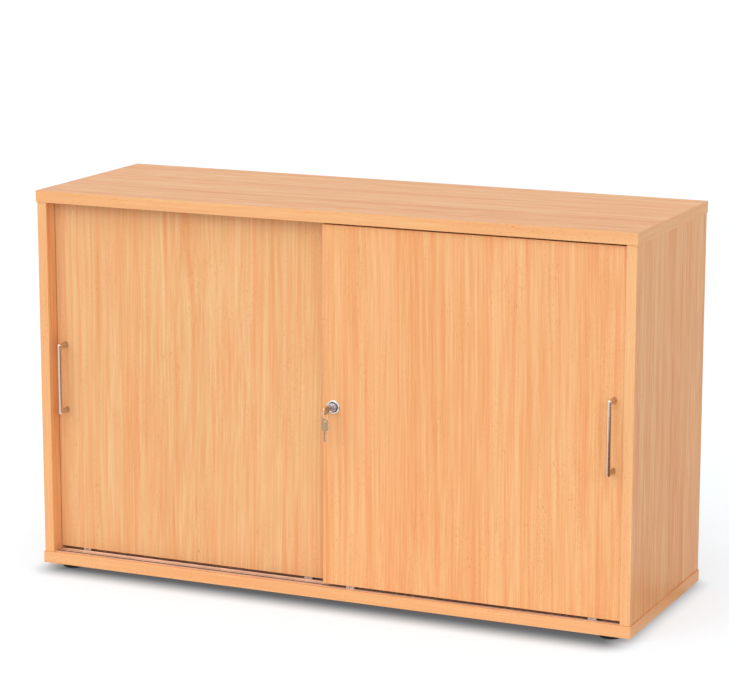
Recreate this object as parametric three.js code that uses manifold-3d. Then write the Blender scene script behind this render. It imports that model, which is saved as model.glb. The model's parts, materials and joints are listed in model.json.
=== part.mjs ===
// Sliding door cabinet: a beech-faced carcass with two doors that roll in a twin track,
// bow handles, a push lock with its keys, two shelves and four levelling feet.
// Millimetres. X runs left to right, Y from front to back and Z up.
import * as THREE from "three";
import { mergeVertices } from "three/addons/utils/BufferGeometryUtils.js";
import Module from "manifold-3d";

const wasm = await Module();
wasm.setup();

// Carcass
const cabinetWidth = 1200;
const cabinetDepth = 400;
const carcassHeight = 730;
const topThickness = 22;
const baseThickness = 22;
const sideThickness = 19;
const partitionThickness = 19;
const shelfThickness = 19;
const backThickness = 8;
const sideSetback = 2; // side panels stand in from the edges of the top and base
const backInset = 10; // back panel to the rear edges of the carcass
const backGrooveDepth = 8;
const fitGap = 0.3; // between pieces that seat on each other
const cutOverrun = 5; // how far a cutting tool passes an open face

// Doors
const doorThickness = 18;
const frontDoorSetback = 8;
const doorSpacing = 7; // between the front door's back and the rear door's face
const doorEdgeGap = 1; // closed door to the side panel
const doorOverlap = 10;
const doorBottomGap = 6;
const doorTopGap = 4;

// Twin tracks
const trackWall = 1.5;
const trackSideClearance = 1; // wheel to the wall of its channel
const trackWebDrop = 2; // web between the channels, below their lips
const topChannelSpare = 3; // above the guide pins

// Rollers
const rollerInset = 54; // from a door's edge to a roller's centre
const wheelDiameter = 20;
const wheelWidth = 6;
const wheelEdgeChamfer = 0.8;
const axleDiameter = 3;
const axleRecess = 1; // axle ends below the carrier's faces
const wheelSideClearance = 0.4;
const wheelPocketClearance = 1;
const carrierEndWall = 3;
const cheekThickness = 3.1;
const carrierHeight = 22; // the part that sits in the door
const earWidth = 16;
const earClearance = 0.8; // ears above the track's lips
const earWall = 1.2; // below the axle hole

// Sprung top guides
const guideReach = 7; // pin end past the track's lips
const guidePinClearance = 0.5;
const guideCollarStep = 1;
const guideCollarHeight = 5;
const guideSleeveWall = 1.2;
const guideSleeveLength = 20;
const guideLipThickness = 1.5;
const guideBoreSpare = 2; // bore below the sleeve

// Handles
const handlePitch = 128; // between the two screws
const handleProjection = 30;
const handleBarDiameter = 7.5;
const handleEdgeDistance = 18.5;
const legFootHeight = 12;
const legFootWidth = 9;
const legNeckHeight = 9.5;
const screwDiameter = 4;
const screwHeadDiameter = 8;
const screwHeadThickness = 2.4;
const screwBite = 8; // screw inside the handle's leg

// Lock
const lockEdgeDistance = 22;
const rosetteDiameter = 26;
const rosetteThickness = 2.5;
const rosetteBevel = 1.2;
const plungerDiameter = 17;
const plungerProud = 12; // knob end in front of the door's face
const plungerHeadLength = 16;
const barrelWall = 1.2;
const barrelRearWall = 2;
const boltDiameter = 8;
const boltSetback = 0.5; // bolt's end inside the door's back
const plugDiameter = 10;
const plugLength = 14;
const springWire = 1;
const springDiameter = 11;
const springTurns = 4;

// Keys
const keyThickness = 1.6;
const bladeHeight = 6;
const bladeLength = 20;
const bowHeight = 15;
const bowLength = 24;
const bowCorner = 5;
const bowShoulderAngle = 0.4 * Math.PI; // turned by the bow's two corners beside the blade
const keyHoleDiameter = 6;
const keyHoleRim = 2; // metal outside the hole
const keyTipChamfer = 2;
const biteDepth = 1.5;
const biteWidth = 2.4;
const biteSpacing = 4;
const biteCount = 3;
const ringDiameter = 15;
const ringWire = 1.4;
const ringTurn = Math.PI / 4; // the ring hangs askew between the two keys

// Strike on the rear door, which the bolt stops against
const strikeHeight = 32;
const strikeSetback = 1.5; // inside the front door's edge
const strikeClearance = 1;
const strikeScrewPitch = 20;
const strikeScrewDiameter = 3;
const strikeScrewHeadDiameter = 5.6;
const strikeScrewHeadHeight = 1.4;
const strikeScrewLength = 12;

// Shelves and their pins
const partitionSetback = 5; // behind the rear door
const shelfSetback = 6; // behind the partition's front edge
const shelfBackGap = 2;
const shelfSideGap = 0.5;
const pinDiameter = 5;
const pinHeadDiameter = 6.5;
const pinHeadLength = 9;
const pinDepth = 8;
const pinHoleSpare = 0.5;
const pinFrontInset = 37; // from the shelf's front and back edges
const pinHolePitch = 32;
const pinHoleCount = 5;

// Levelling feet
const footDiameter = 43;
const footHeight = 10;
const footSideInset = 48; // from the cabinet's ends to a foot's centre
const footFrontInset = 33;
const footEdgeRadius = 1.5;
const footRimHeight = 4.5;
const footHubDiameter = 18;
const footHubHeight = 2;
const stemDiameter = 8;
const stemSpare = 1; // stem's end below the insert's top
const insertWall = 2;
const insertCover = 1.4; // wood between the insert and the track's recess

// Facets
const fineSides = 24;
const roundSides = 16;
const smallSides = 8;

// Planes that follow from the sizes
const baseTop = baseThickness;
const topUnderside = carcassHeight - topThickness;
const sideOuter = cabinetWidth / 2 - sideSetback;
const sideInner = sideOuter - sideThickness;
const frontDoorFace = frontDoorSetback;
const frontDoorBack = frontDoorFace + doorThickness;
const rearDoorFace = frontDoorBack + doorSpacing;
const rearDoorBack = rearDoorFace + doorThickness;
const trackPitch = doorThickness + doorSpacing;
const doorBottom = baseTop + doorBottomGap;
const doorTop = topUnderside - doorTopGap;
const doorMiddle = (doorBottom + doorTop) / 2;
const doorOuterEdge = sideInner - doorEdgeGap;
const doorInnerEdge = doorOverlap / 2;
const doorWidth = doorOuterEdge + doorInnerEdge;
const backFront = cabinetDepth - backInset - backThickness;
const lockX = lockEdgeDistance - doorInnerEdge;

// Rollers and tracks
const wheelRadius = wheelDiameter / 2;
const axleHoleRadius = axleDiameter / 2 + fitGap;
const axleHeight = earClearance + earWall + axleHoleRadius; // above the track's lips
const channelWidth = wheelWidth + 2 * trackSideClearance;
const channelOuter = channelWidth + 2 * trackWall;
const bottomTrackHeight = trackWall + fitGap + wheelRadius - axleHeight;
const topTrackHeight = trackWall + topChannelSpare + guideReach;
const wheelZ = baseTop + axleHeight;
const carrierThickness = wheelWidth + 2 * wheelSideClearance + 2 * cheekThickness;
const carrierLength = wheelDiameter + 2 * wheelPocketClearance + 2 * carrierEndWall;
const frontDoorMid = frontDoorFace + doorThickness / 2;
const rearDoorMid = rearDoorFace + doorThickness / 2;

// Guides
const guidePinDiameter = channelWidth - 2 * guidePinClearance;
const guideCollarDiameter = guidePinDiameter + 2 * guideCollarStep;
const guideSleeveBore = guideCollarDiameter + 2 * fitGap;
const guideSleeveDiameter = guideSleeveBore + 2 * guideSleeveWall;

// Lock
const barrelBore = plungerDiameter + 2 * fitGap;
const barrelDiameter = barrelBore + 2 * barrelWall;
const plungerFront = frontDoorFace - plungerProud;
const plungerShoulder = plungerFront + plungerHeadLength;
const barrelRear = frontDoorBack - fitGap;
const boltEnd = frontDoorBack - boltSetback;
const keyTip = plungerFront + plugLength - fitGap;
const keyFront = keyTip - bladeLength - bowLength;
const keyHoleOffset = keyHoleRim + keyHoleDiameter / 2; // from the bow's end
const mainHoleY = keyFront + keyHoleOffset;
const wireDrop = keyHoleDiameter / 2 - ringWire / 2 - fitGap; // wire from the hole's centre
const ringCentreZ = doorMiddle - wireDrop - ringDiameter / 2;
const spareHoleZ = ringCentreZ - ringDiameter / 2 - wireDrop;

// Feet
const recessFloor = baseTop - bottomTrackHeight - fitGap;
const insertHeight = recessFloor - insertCover - fitGap;
const stemBore = stemDiameter + 2 * fitGap;
const insertDiameter = stemBore + 2 * insertWall;

// Shelves
const partitionFront = rearDoorBack + partitionSetback;
const shelfFront = partitionFront + shelfSetback;
const shelfBack = backFront - shelfBackGap;
const pinZ = (baseTop + topUnderside) / 2 - shelfThickness / 2 - pinHeadDiameter / 2 - fitGap;

// The key ring reaches furthest forward. The model's origin is the middle of its footprint, on the floor.
const ringFront = mainHoleY - (ringDiameter / 2) * Math.sin(ringTurn) - ringWire / 2;
const middleY = (Math.min(keyFront, ringFront) + cabinetDepth) / 2;

const finishes = {
  beech: { color: 0xf0b482, roughness: 0.45, metalness: 0 },
  beechDoor: { color: 0xf4b480, roughness: 0.45, metalness: 0 },
  aluminium: { color: 0xd8c8b8, roughness: 0.35, metalness: 0.9 },
  nickel: { color: 0xc9bfb4, roughness: 0.3, metalness: 1 },
  chrome: { color: 0xdddde0, roughness: 0.12, metalness: 1 },
  steel: { color: 0xb9b7b2, roughness: 0.35, metalness: 1 },
  greyPlastic: { color: 0xa9a39a, roughness: 0.55, metalness: 0 },
  blackPlastic: { color: 0x1c1c1e, roughness: 0.5, metalness: 0 },
};

const cabinet = new THREE.Group();
const carcass = new THREE.Group();
const rearDoor = new THREE.Group();
const frontDoor = new THREE.Group();
cabinet.add(carcass, rearDoor, frontDoor);
cabinet.position.set(0, -middleY, footHeight);

// A closed geometry as a solid that can be cut or joined.
function toSolid(geometry) {
  const bare = geometry.index ? geometry.toNonIndexed() : geometry.clone();
  bare.deleteAttribute("normal");
  bare.deleteAttribute("uv");
  const merged = mergeVertices(bare);
  const mesh = new wasm.Mesh({
    numProp: 3,
    vertProperties: merged.attributes.position.array,
    triVerts: new Uint32Array(merged.index.array),
  });
  return new wasm.Manifold(mesh);
}

function toGeometry(solid) {
  const { numProp, vertProperties, triVerts } = solid.getMesh();
  const geometry = new THREE.BufferGeometry();
  geometry.setAttribute("position", new THREE.BufferAttribute(vertProperties, numProp));
  geometry.setIndex(new THREE.BufferAttribute(triVerts, 1));
  geometry.computeVertexNormals();
  return geometry;
}

function cut(geometry, tools) {
  let solid = toSolid(geometry);
  for (const tool of tools) solid = solid.subtract(toSolid(tool));
  return toGeometry(solid);
}

function join(geometries) {
  let solid = toSolid(geometries[0]);
  for (const other of geometries.slice(1)) solid = solid.add(toSolid(other));
  return toGeometry(solid);
}

function piece(parent, name, finish, geometry, position = [0, 0, 0]) {
  const mesh = new THREE.Mesh(geometry, new THREE.MeshStandardMaterial(finishes[finish]));
  mesh.name = name;
  mesh.position.set(...position);
  parent.add(mesh);
  return mesh;
}

// A block from three [low, high] spans.
function block(x, y, z) {
  const geometry = new THREE.BoxGeometry(x[1] - x[0], y[1] - y[0], z[1] - z[0]);
  return geometry.translate((x[0] + x[1]) / 2, (y[0] + y[1]) / 2, (z[0] + z[1]) / 2);
}

// Turns a geometry that stands along Y so that it lies along the named axis.
function along(axis, geometry) {
  if (axis === "x") return geometry.rotateZ(-Math.PI / 2);
  if (axis === "z") return geometry.rotateX(Math.PI / 2);
  return geometry;
}

// A round rod along one axis through the point at, with its ends at span along that axis.
function rod(axis, diameter, span, at = [0, 0, 0], sides = roundSides) {
  const length = span[1] - span[0];
  const geometry = new THREE.CylinderGeometry(diameter / 2, diameter / 2, length, sides);
  const centre = [...at];
  centre["xyz".indexOf(axis)] = (span[0] + span[1]) / 2;
  return along(axis, geometry).translate(...centre);
}

// A turned piece from [radius, height] points that run up its outside.
function turned(axis, points, sides = roundSides) {
  const profile = points.map(([radius, height]) => new THREE.Vector2(radius, height));
  return along(axis, new THREE.LatheGeometry(profile, sides));
}

// A flat outline in the YZ plane, extruded along X between the two ends.
function extrudedAlongX(shape, from, to) {
  const geometry = new THREE.ExtrudeGeometry(shape, {
    depth: to - from,
    bevelEnabled: false,
    curveSegments: roundSides / 2,
  });
  const basis = new THREE.Matrix4().makeBasis(
    new THREE.Vector3(0, 1, 0),
    new THREE.Vector3(0, 0, 1),
    new THREE.Vector3(1, 0, 0),
  );
  return geometry.applyMatrix4(basis).translate(from, 0, 0);
}

// Carcass panels

function backGroove(xSpan, zSpan) {
  const y = [backFront - fitGap, backFront + backThickness + fitGap];
  return block(xSpan, y, zSpan);
}

// The recess for a twin track, open at the face it is cut into.
function trackRecess(zSpan) {
  const halfWidth = channelOuter / 2 + fitGap;
  return block([-sideInner, sideInner], [frontDoorMid - halfWidth, rearDoorMid + halfWidth], zSpan);
}

function footPlaces() {
  const x = cabinetWidth / 2 - footSideInset;
  const rear = cabinetDepth - footFrontInset;
  return [
    ["front_left", -x, footFrontInset],
    ["front_right", x, footFrontInset],
    ["back_left", -x, rear],
    ["back_right", x, rear],
  ];
}

function makeTopAndBase() {
  const x = [-cabinetWidth / 2, cabinetWidth / 2];
  const y = [0, cabinetDepth];
  const grooveX = [-sideInner - backGrooveDepth, sideInner + backGrooveDepth];
  const top = cut(block(x, y, [topUnderside, carcassHeight]), [
    trackRecess([topUnderside - cutOverrun, topUnderside + topTrackHeight + fitGap]),
    backGroove(grooveX, [topUnderside - cutOverrun, topUnderside + backGrooveDepth]),
  ]);
  const insertBores = footPlaces().map(([, footX, footY]) =>
    rod("z", insertDiameter + 2 * fitGap, [-cutOverrun, insertHeight + fitGap], [footX, footY, 0]),
  );
  const base = cut(block(x, y, [0, baseTop]), [
    trackRecess([recessFloor, baseTop + cutOverrun]),
    backGroove(grooveX, [baseTop - backGrooveDepth, baseTop + cutOverrun]),
    ...insertBores,
  ]);
  piece(carcass, "top_panel", "beech", top);
  piece(carcass, "base_panel", "beech", base);
}

// Shelf pin positions from front to back, and the heights of the drilled rows.
const pinYs = [shelfFront + pinFrontInset, shelfBack - pinFrontInset];
const pinHoleHeights = Array.from(
  { length: pinHoleCount },
  (_, i) => pinZ + (i - Math.floor(pinHoleCount / 2)) * pinHolePitch,
);

// Holes drilled into the face at faceX, away from the compartment that direction points to.
function pinHoles(faceX, direction) {
  const depth = pinDepth + pinHoleSpare;
  const ends = [faceX + direction * cutOverrun, faceX - direction * depth].sort((a, b) => a - b);
  const diameter = pinDiameter + 2 * fitGap;
  return pinYs.flatMap((y) =>
    pinHoleHeights.map((z) => rod("x", diameter, ends, [0, y, z], smallSides)),
  );
}

function makeUprights() {
  const z = [baseTop + fitGap, topUnderside - fitGap];
  for (const [name, side] of [["left_side_panel", -1], ["right_side_panel", 1]]) {
    const x = [side * sideInner, side * sideOuter].sort((a, b) => a - b);
    const reach = side * (sideInner + backGrooveDepth);
    const grooveX = [reach, side * (sideInner - cutOverrun)].sort((a, b) => a - b);
    const grooveZ = [baseTop - cutOverrun, topUnderside + cutOverrun];
    const panel = cut(block(x, [sideSetback, cabinetDepth], z), [
      backGroove(grooveX, grooveZ),
      ...pinHoles(side * sideInner, -side),
    ]);
    piece(carcass, name, "beech", panel);
  }
  const half = partitionThickness / 2;
  const partition = cut(block([-half, half], [partitionFront, backFront - fitGap], z), [
    ...pinHoles(-half, -1),
    ...pinHoles(half, 1),
  ]);
  piece(carcass, "centre_partition", "beech", partition);
}

function makeBackPanel() {
  const reach = backGrooveDepth - fitGap;
  const x = [-sideInner - reach, sideInner + reach];
  const y = [backFront, backFront + backThickness];
  piece(carcass, "back_panel", "beech", block(x, y, [baseTop - reach, topUnderside + reach]));
}

// A shelf pin lies along X: its shank in the panel and its head under the shelf.
function shelfPin(side) {
  const pin = turned("x", [
    [0, -pinDepth],
    [pinDiameter / 2, -pinDepth],
    [pinDiameter / 2, fitGap],
    [pinHeadDiameter / 2, fitGap],
    [pinHeadDiameter / 2, pinHeadLength],
    [0, pinHeadLength],
  ], smallSides);
  return side > 0 ? pin : pin.rotateZ(Math.PI);
}

function makeShelves() {
  const half = partitionThickness / 2;
  const bottom = pinZ + pinHeadDiameter / 2 + fitGap;
  for (const [name, side] of [["left", -1], ["right", 1]]) {
    const inner = side * (half + shelfSideGap);
    const outer = side * (sideInner - shelfSideGap);
    const x = [inner, outer].sort((a, b) => a - b);
    const shelf = block(x, [shelfFront, shelfBack], [bottom, bottom + shelfThickness]);
    piece(carcass, `${name}_shelf`, "beech", shelf);
    for (const [depthName, y] of [["front", pinYs[0]], ["back", pinYs[1]]]) {
      const stem = `${name}_shelf_pin_${depthName}`;
      piece(carcass, `${stem}_outer`, "steel", shelfPin(-side), [side * sideInner, y, pinZ]);
      piece(carcass, `${stem}_inner`, "steel", shelfPin(side), [side * half, y, pinZ]);
    }
  }
}

// Twin tracks: one extrusion with two channels joined by a lower web.

function trackOutline(height) {
  const reach = channelOuter / 2;
  const floor = -height + trackWall;
  const web = -trackWebDrop;
  const [a, b] = [frontDoorMid - reach, frontDoorMid + reach];
  const [c, d] = [a + trackPitch, b + trackPitch];
  const points = [
    [a, -height], [b, -height], [b, web - trackWall], [c, web - trackWall],
    [c, -height], [d, -height], [d, 0], [d - trackWall, 0],
    [d - trackWall, floor], [c + trackWall, floor], [c + trackWall, 0], [c, 0],
    [c, web], [b, web], [b, 0], [b - trackWall, 0],
    [b - trackWall, floor], [a + trackWall, floor], [a + trackWall, 0], [a, 0],
  ];
  return points;
}

// A track whose lips lie at lipZ, with its channels open upwards (1) or downwards (-1).
function track(height, lipZ, opens) {
  const points = trackOutline(height).map(([y, z]) => new THREE.Vector2(y, lipZ + opens * z));
  const end = sideInner - fitGap;
  return extrudedAlongX(new THREE.Shape(points), -end, end);
}

function makeTracks() {
  piece(carcass, "bottom_track", "aluminium", track(bottomTrackHeight, baseTop, 1));
  piece(carcass, "top_track", "aluminium", track(topTrackHeight, topUnderside, -1));
}

// Levelling feet

function footSolid() {
  const radius = footDiameter / 2;
  const top = insertHeight - stemSpare;
  return turned("z", [
    [0, -footHeight],
    [radius - footEdgeRadius, -footHeight],
    [radius, -footHeight + footEdgeRadius],
    [radius, -footHeight + footRimHeight],
    [footHubDiameter / 2, -footHubHeight],
    [footHubDiameter / 2, -fitGap],
    [stemDiameter / 2, -fitGap],
    [stemDiameter / 2, top],
    [0, top],
  ], fineSides);
}

function footInsert() {
  const [inner, outer] = [stemBore / 2, insertDiameter / 2];
  return turned("z", [
    [inner, 0],
    [outer, 0],
    [outer, insertHeight],
    [inner, insertHeight],
    [inner, 0],
  ]);
}

function makeFeet() {
  for (const [place, x, y] of footPlaces()) {
    piece(carcass, `${place}_foot_insert`, "greyPlastic", footInsert(), [x, y, 0]);
    piece(carcass, `${place}_levelling_foot`, "blackPlastic", footSolid(), [x, y, 0]);
  }
}

// Doors. A door is described by its group, name, left and right edges and front face.
const doors = [
  {
    group: rearDoor,
    name: "rear_door",
    edges: [-doorOuterEdge, -doorOuterEdge + doorWidth],
    face: rearDoorFace,
    handleX: -doorOuterEdge + handleEdgeDistance,
  },
  {
    group: frontDoor,
    name: "front_door",
    edges: [doorOuterEdge - doorWidth, doorOuterEdge],
    face: frontDoorFace,
    handleX: doorOuterEdge - handleEdgeDistance,
  },
];

function rollerPlaces(door) {
  return [["left", door.edges[0] + rollerInset], ["right", door.edges[1] - rollerInset]];
}

function handleScrewHeights() {
  return [["lower", doorMiddle - handlePitch / 2], ["upper", doorMiddle + handlePitch / 2]];
}

function doorPanel(door) {
  const mid = door.face + doorThickness / 2;
  const carrierHalf = carrierThickness / 2 + fitGap;
  const carrierReach = carrierLength / 2 + fitGap;
  const tools = [];
  for (const [, x] of rollerPlaces(door)) {
    const mortiseZ = [doorBottom - cutOverrun, doorBottom + carrierHeight + fitGap];
    const mortise = block([x - carrierReach, x + carrierReach], [mid - carrierHalf, mid + carrierHalf], mortiseZ);
    const boreZ = [doorTop - guideSleeveLength - guideBoreSpare, doorTop + cutOverrun];
    tools.push(mortise, rod("z", guideSleeveDiameter + 2 * fitGap, boreZ, [x, mid, 0]));
  }
  const through = [door.face - cutOverrun, door.face + doorThickness + cutOverrun];
  for (const [, z] of handleScrewHeights()) {
    tools.push(rod("y", screwDiameter + 2 * fitGap, through, [door.handleX, 0, z], smallSides));
  }
  if (door.group === frontDoor) {
    tools.push(rod("y", barrelDiameter + 2 * fitGap, through, [lockX, 0, doorMiddle], fineSides));
  } else {
    tools.push(...strikeScrewPlaces().map(([, x, z]) => strikeScrewHole(x, z)));
  }
  const panel = block(door.edges, [door.face, door.face + doorThickness], [doorBottom, doorTop]);
  return cut(panel, tools);
}

// A bow handle: a round bar on two legs that widen towards the door. Its screws come in from behind.
function handleSolid() {
  const barY = -handleProjection + handleBarDiameter / 2;
  const overall = handlePitch + legFootHeight;
  const bar = new THREE.CapsuleGeometry(
    handleBarDiameter / 2, overall - handleBarDiameter, smallSides / 2, roundSides,
  );
  const pieces = [along("z", bar).translate(0, barY, 0)];
  const holes = [];
  for (const side of [-1, 1]) {
    const z = side * handlePitch / 2;
    const length = -barY - fitGap;
    const leg = new THREE.CylinderGeometry(legFootHeight / 2, legNeckHeight / 2, length, roundSides);
    leg.scale(legFootWidth / legFootHeight, 1, 1);
    pieces.push(leg.translate(0, -fitGap - length / 2, z));
    holes.push(rod("y", screwDiameter + 2 * fitGap, [-screwBite - fitGap, cutOverrun], [0, 0, z], smallSides));
  }
  return cut(join(pieces), holes);
}

function handleScrew() {
  const length = doorThickness + screwBite;
  return turned("y", [
    [0, -length],
    [screwDiameter / 2, -length],
    [screwDiameter / 2, fitGap],
    [screwHeadDiameter / 2, fitGap],
    [screwHeadDiameter / 2, fitGap + screwHeadThickness / 2],
    [screwHeadDiameter / 4, fitGap + screwHeadThickness],
    [0, fitGap + screwHeadThickness],
  ], smallSides);
}

// A roller carrier: a block mortised into the door, with two ears that hold the wheel below it.
function carrierSolid() {
  const reach = carrierLength / 2;
  const half = carrierThickness / 2;
  const slot = wheelWidth / 2 + wheelSideClearance;
  const pocket = wheelRadius + wheelPocketClearance;
  const bodyBottom = doorBottom - wheelZ;
  const earBottom = -axleHoleRadius - earWall;
  const body = block([-reach, reach], [-half, half], [bodyBottom, bodyBottom + carrierHeight]);
  const ears = block([-earWidth / 2, earWidth / 2], [-half, half], [earBottom, bodyBottom + carrierHeight]);
  return cut(join([body, ears]), [
    block([-pocket, pocket], [-slot, slot], [earBottom - cutOverrun, pocket]),
    rod("y", 2 * axleHoleRadius, [-half - cutOverrun, half + cutOverrun]),
  ]);
}

function wheelSolid() {
  const half = wheelWidth / 2;
  const end = carrierThickness / 2 - axleRecess;
  const axle = axleDiameter / 2;
  return turned("y", [
    [0, -end],
    [axle, -end],
    [axle, -half],
    [wheelRadius - wheelEdgeChamfer, -half],
    [wheelRadius, -half + wheelEdgeChamfer],
    [wheelRadius, half - wheelEdgeChamfer],
    [wheelRadius - wheelEdgeChamfer, half],
    [axle, half],
    [axle, end],
    [0, end],
  ], fineSides);
}

// A guide's sleeve is flush with the door's top edge. Its lip keeps the pin's collar in.
function guideSleeve() {
  const [bore, outer] = [guideSleeveBore / 2, guideSleeveDiameter / 2];
  const mouth = guidePinDiameter / 2 + fitGap;
  return turned("z", [
    [bore, -guideSleeveLength],
    [outer, -guideSleeveLength],
    [outer, 0],
    [mouth, 0],
    [mouth, -guideLipThickness],
    [bore, -guideLipThickness],
    [bore, -guideSleeveLength],
  ]);
}

function guidePin() {
  const collarTop = -guideLipThickness - fitGap;
  const [collar, neck] = [guideCollarDiameter / 2, guidePinDiameter / 2];
  const end = doorTopGap + guideReach;
  return turned("z", [
    [0, collarTop - guideCollarHeight],
    [collar, collarTop - guideCollarHeight],
    [collar, collarTop],
    [neck, collarTop],
    [neck, end - neck / 2],
    [neck / 2, end],
    [0, end],
  ]);
}

function makeDoors() {
  for (const door of doors) {
    const { group, name } = door;
    const mid = door.face + doorThickness / 2;
    piece(group, `${name}_panel`, "beechDoor", doorPanel(door));
    piece(group, `${name}_handle`, "nickel", handleSolid(), [door.handleX, door.face, doorMiddle]);
    for (const [height, z] of handleScrewHeights()) {
      const at = [door.handleX, door.face + doorThickness, z];
      piece(group, `${name}_handle_screw_${height}`, "steel", handleScrew(), at);
    }
    for (const [side, x] of rollerPlaces(door)) {
      piece(group, `${name}_${side}_roller_carrier`, "greyPlastic", carrierSolid(), [x, mid, wheelZ]);
      piece(group, `${name}_${side}_wheel`, "blackPlastic", wheelSolid(), [x, mid, wheelZ]);
      piece(group, `${name}_${side}_guide_sleeve`, "greyPlastic", guideSleeve(), [x, mid, doorTop]);
      piece(group, `${name}_${side}_guide_pin`, "greyPlastic", guidePin(), [x, mid, doorTop]);
    }
  }
}

// Strike: a block on the rear door's face, beside the path of the bolt.

function strikeSpan() {
  return [-doorInnerEdge + strikeSetback, lockX - boltDiameter / 2 - strikeClearance];
}

function strikeScrewPlaces() {
  const x = (strikeSpan()[0] + doorInnerEdge) / 2;
  return [
    ["lower", x, doorMiddle - strikeScrewPitch / 2],
    ["upper", x, doorMiddle + strikeScrewPitch / 2],
  ];
}

function strikeScrewHole(x, z) {
  const y = [rearDoorFace - doorSpacing, rearDoorFace + strikeScrewLength];
  return rod("y", strikeScrewDiameter + 2 * fitGap, y, [x, 0, z], smallSides);
}

function makeStrike() {
  const front = frontDoorBack + strikeClearance;
  const z = [doorMiddle - strikeHeight / 2, doorMiddle + strikeHeight / 2];
  const sink = strikeScrewHeadHeight + 2 * fitGap;
  const tools = strikeScrewPlaces().flatMap(([, x, screwZ]) => [
    strikeScrewHole(x, screwZ),
    rod("y", strikeScrewHeadDiameter + 2 * fitGap, [front - cutOverrun, front + sink], [x, 0, screwZ], smallSides),
  ]);
  const strike = cut(block(strikeSpan(), [front, rearDoorFace - fitGap], z), tools);
  piece(rearDoor, "strike_block", "greyPlastic", strike);
  const screw = () => turned("y", [
    [0, 0],
    [strikeScrewHeadDiameter / 2, 0],
    [strikeScrewHeadDiameter / 2, strikeScrewHeadHeight],
    [strikeScrewDiameter / 2, strikeScrewHeadHeight],
    [strikeScrewDiameter / 2, strikeScrewLength],
    [0, strikeScrewLength],
  ], smallSides);
  for (const [height, x, screwZ] of strikeScrewPlaces()) {
    piece(rearDoor, `strike_screw_${height}`, "steel", screw(), [x, front + fitGap, screwZ]);
  }
}

// Push lock. Its pieces share the axis at lockX and doorMiddle.

function lockHousing() {
  const [bore, outer] = [barrelBore / 2, barrelDiameter / 2];
  const rosette = rosetteDiameter / 2;
  const front = frontDoorFace - fitGap - rosetteThickness;
  const mouth = boltDiameter / 2 + fitGap;
  return turned("y", [
    [bore, front],
    [rosette - rosetteBevel, front],
    [rosette, front + rosetteBevel],
    [rosette, frontDoorFace - fitGap],
    [outer, frontDoorFace - fitGap],
    [outer, barrelRear],
    [mouth, barrelRear],
    [mouth, barrelRear - barrelRearWall],
    [bore, barrelRear - barrelRearWall],
    [bore, front],
  ], fineSides);
}

function lockPlunger() {
  const [head, bolt] = [plungerDiameter / 2, boltDiameter / 2];
  const seat = plugDiameter / 2 + fitGap;
  const seatEnd = plungerFront + plugLength + fitGap;
  return turned("y", [
    [0, seatEnd],
    [seat, seatEnd],
    [seat, plungerFront],
    [head - fitGap, plungerFront],
    [head, plungerFront + fitGap],
    [head, plungerShoulder],
    [bolt, plungerShoulder],
    [bolt, boltEnd],
    [0, boltEnd],
  ], fineSides);
}

function lockPlug() {
  const end = plungerFront + plugLength;
  const half = keyThickness / 2 + fitGap;
  const height = bladeHeight / 2 + fitGap;
  return cut(rod("y", plugDiameter, [plungerFront, end]), [
    block([-half, half], [plungerFront - cutOverrun, end + cutOverrun], [-height, height]),
  ]);
}

// The spring's wire follows a helix along Y.
class Helix extends THREE.Curve {
  constructor(radius, turns, from, to) {
    super();
    Object.assign(this, { radius, turns, from, to });
  }

  getPoint(t, target = new THREE.Vector3()) {
    const angle = 2 * Math.PI * this.turns * t;
    const y = this.from + (this.to - this.from) * t;
    return target.set(this.radius * Math.cos(angle), y, this.radius * Math.sin(angle));
  }
}

function lockSpring() {
  const inset = fitGap + springWire / 2;
  const from = plungerShoulder + inset;
  const to = barrelRear - barrelRearWall - inset;
  const wire = new THREE.Shape().absarc(0, 0, springWire / 2, 0, 2 * Math.PI);
  return new THREE.ExtrudeGeometry(wire, {
    curveSegments: smallSides / 2,
    steps: springTurns * smallSides,
    extrudePath: new Helix(springDiameter / 2, springTurns, from, to),
  });
}

// A flat key with its bow's hole at the origin and its blade along +Y, in the YZ plane.
function keySolid() {
  const start = -keyHoleOffset;
  const shoulder = start + bowLength;
  const tip = shoulder + bladeLength;
  const [bow, blade] = [bowHeight / 2, bladeHeight / 2];
  const [up, down] = [0.5 * Math.PI, 1.5 * Math.PI];
  const shape = new THREE.Shape();
  shape.moveTo(start, -bow + bowCorner);
  shape.absarc(start + bowCorner, -bow + bowCorner, bowCorner, Math.PI, down);
  shape.absarc(shoulder - bowCorner, -bow + bowCorner, bowCorner, down, down + bowShoulderAngle);
  shape.lineTo(shoulder, -blade);
  for (let i = 0; i < biteCount; i += 1) {
    const y = tip - keyTipChamfer - (biteCount - i) * biteSpacing;
    shape.lineTo(y, -blade);
    shape.lineTo(y + biteWidth / 2, -blade + biteDepth);
    shape.lineTo(y + biteWidth, -blade);
  }
  shape.lineTo(tip - keyTipChamfer, -blade);
  shape.lineTo(tip, -blade + keyTipChamfer);
  shape.lineTo(tip, blade - keyTipChamfer);
  shape.lineTo(tip - keyTipChamfer, blade);
  shape.lineTo(shoulder, blade);
  shape.absarc(shoulder - bowCorner, bow - bowCorner, bowCorner, up - bowShoulderAngle, up);
  shape.absarc(start + bowCorner, bow - bowCorner, bowCorner, up, Math.PI);
  shape.holes.push(new THREE.Path().absarc(0, 0, keyHoleDiameter / 2, 0, 2 * Math.PI));
  return extrudedAlongX(shape, -keyThickness / 2, keyThickness / 2);
}

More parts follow.
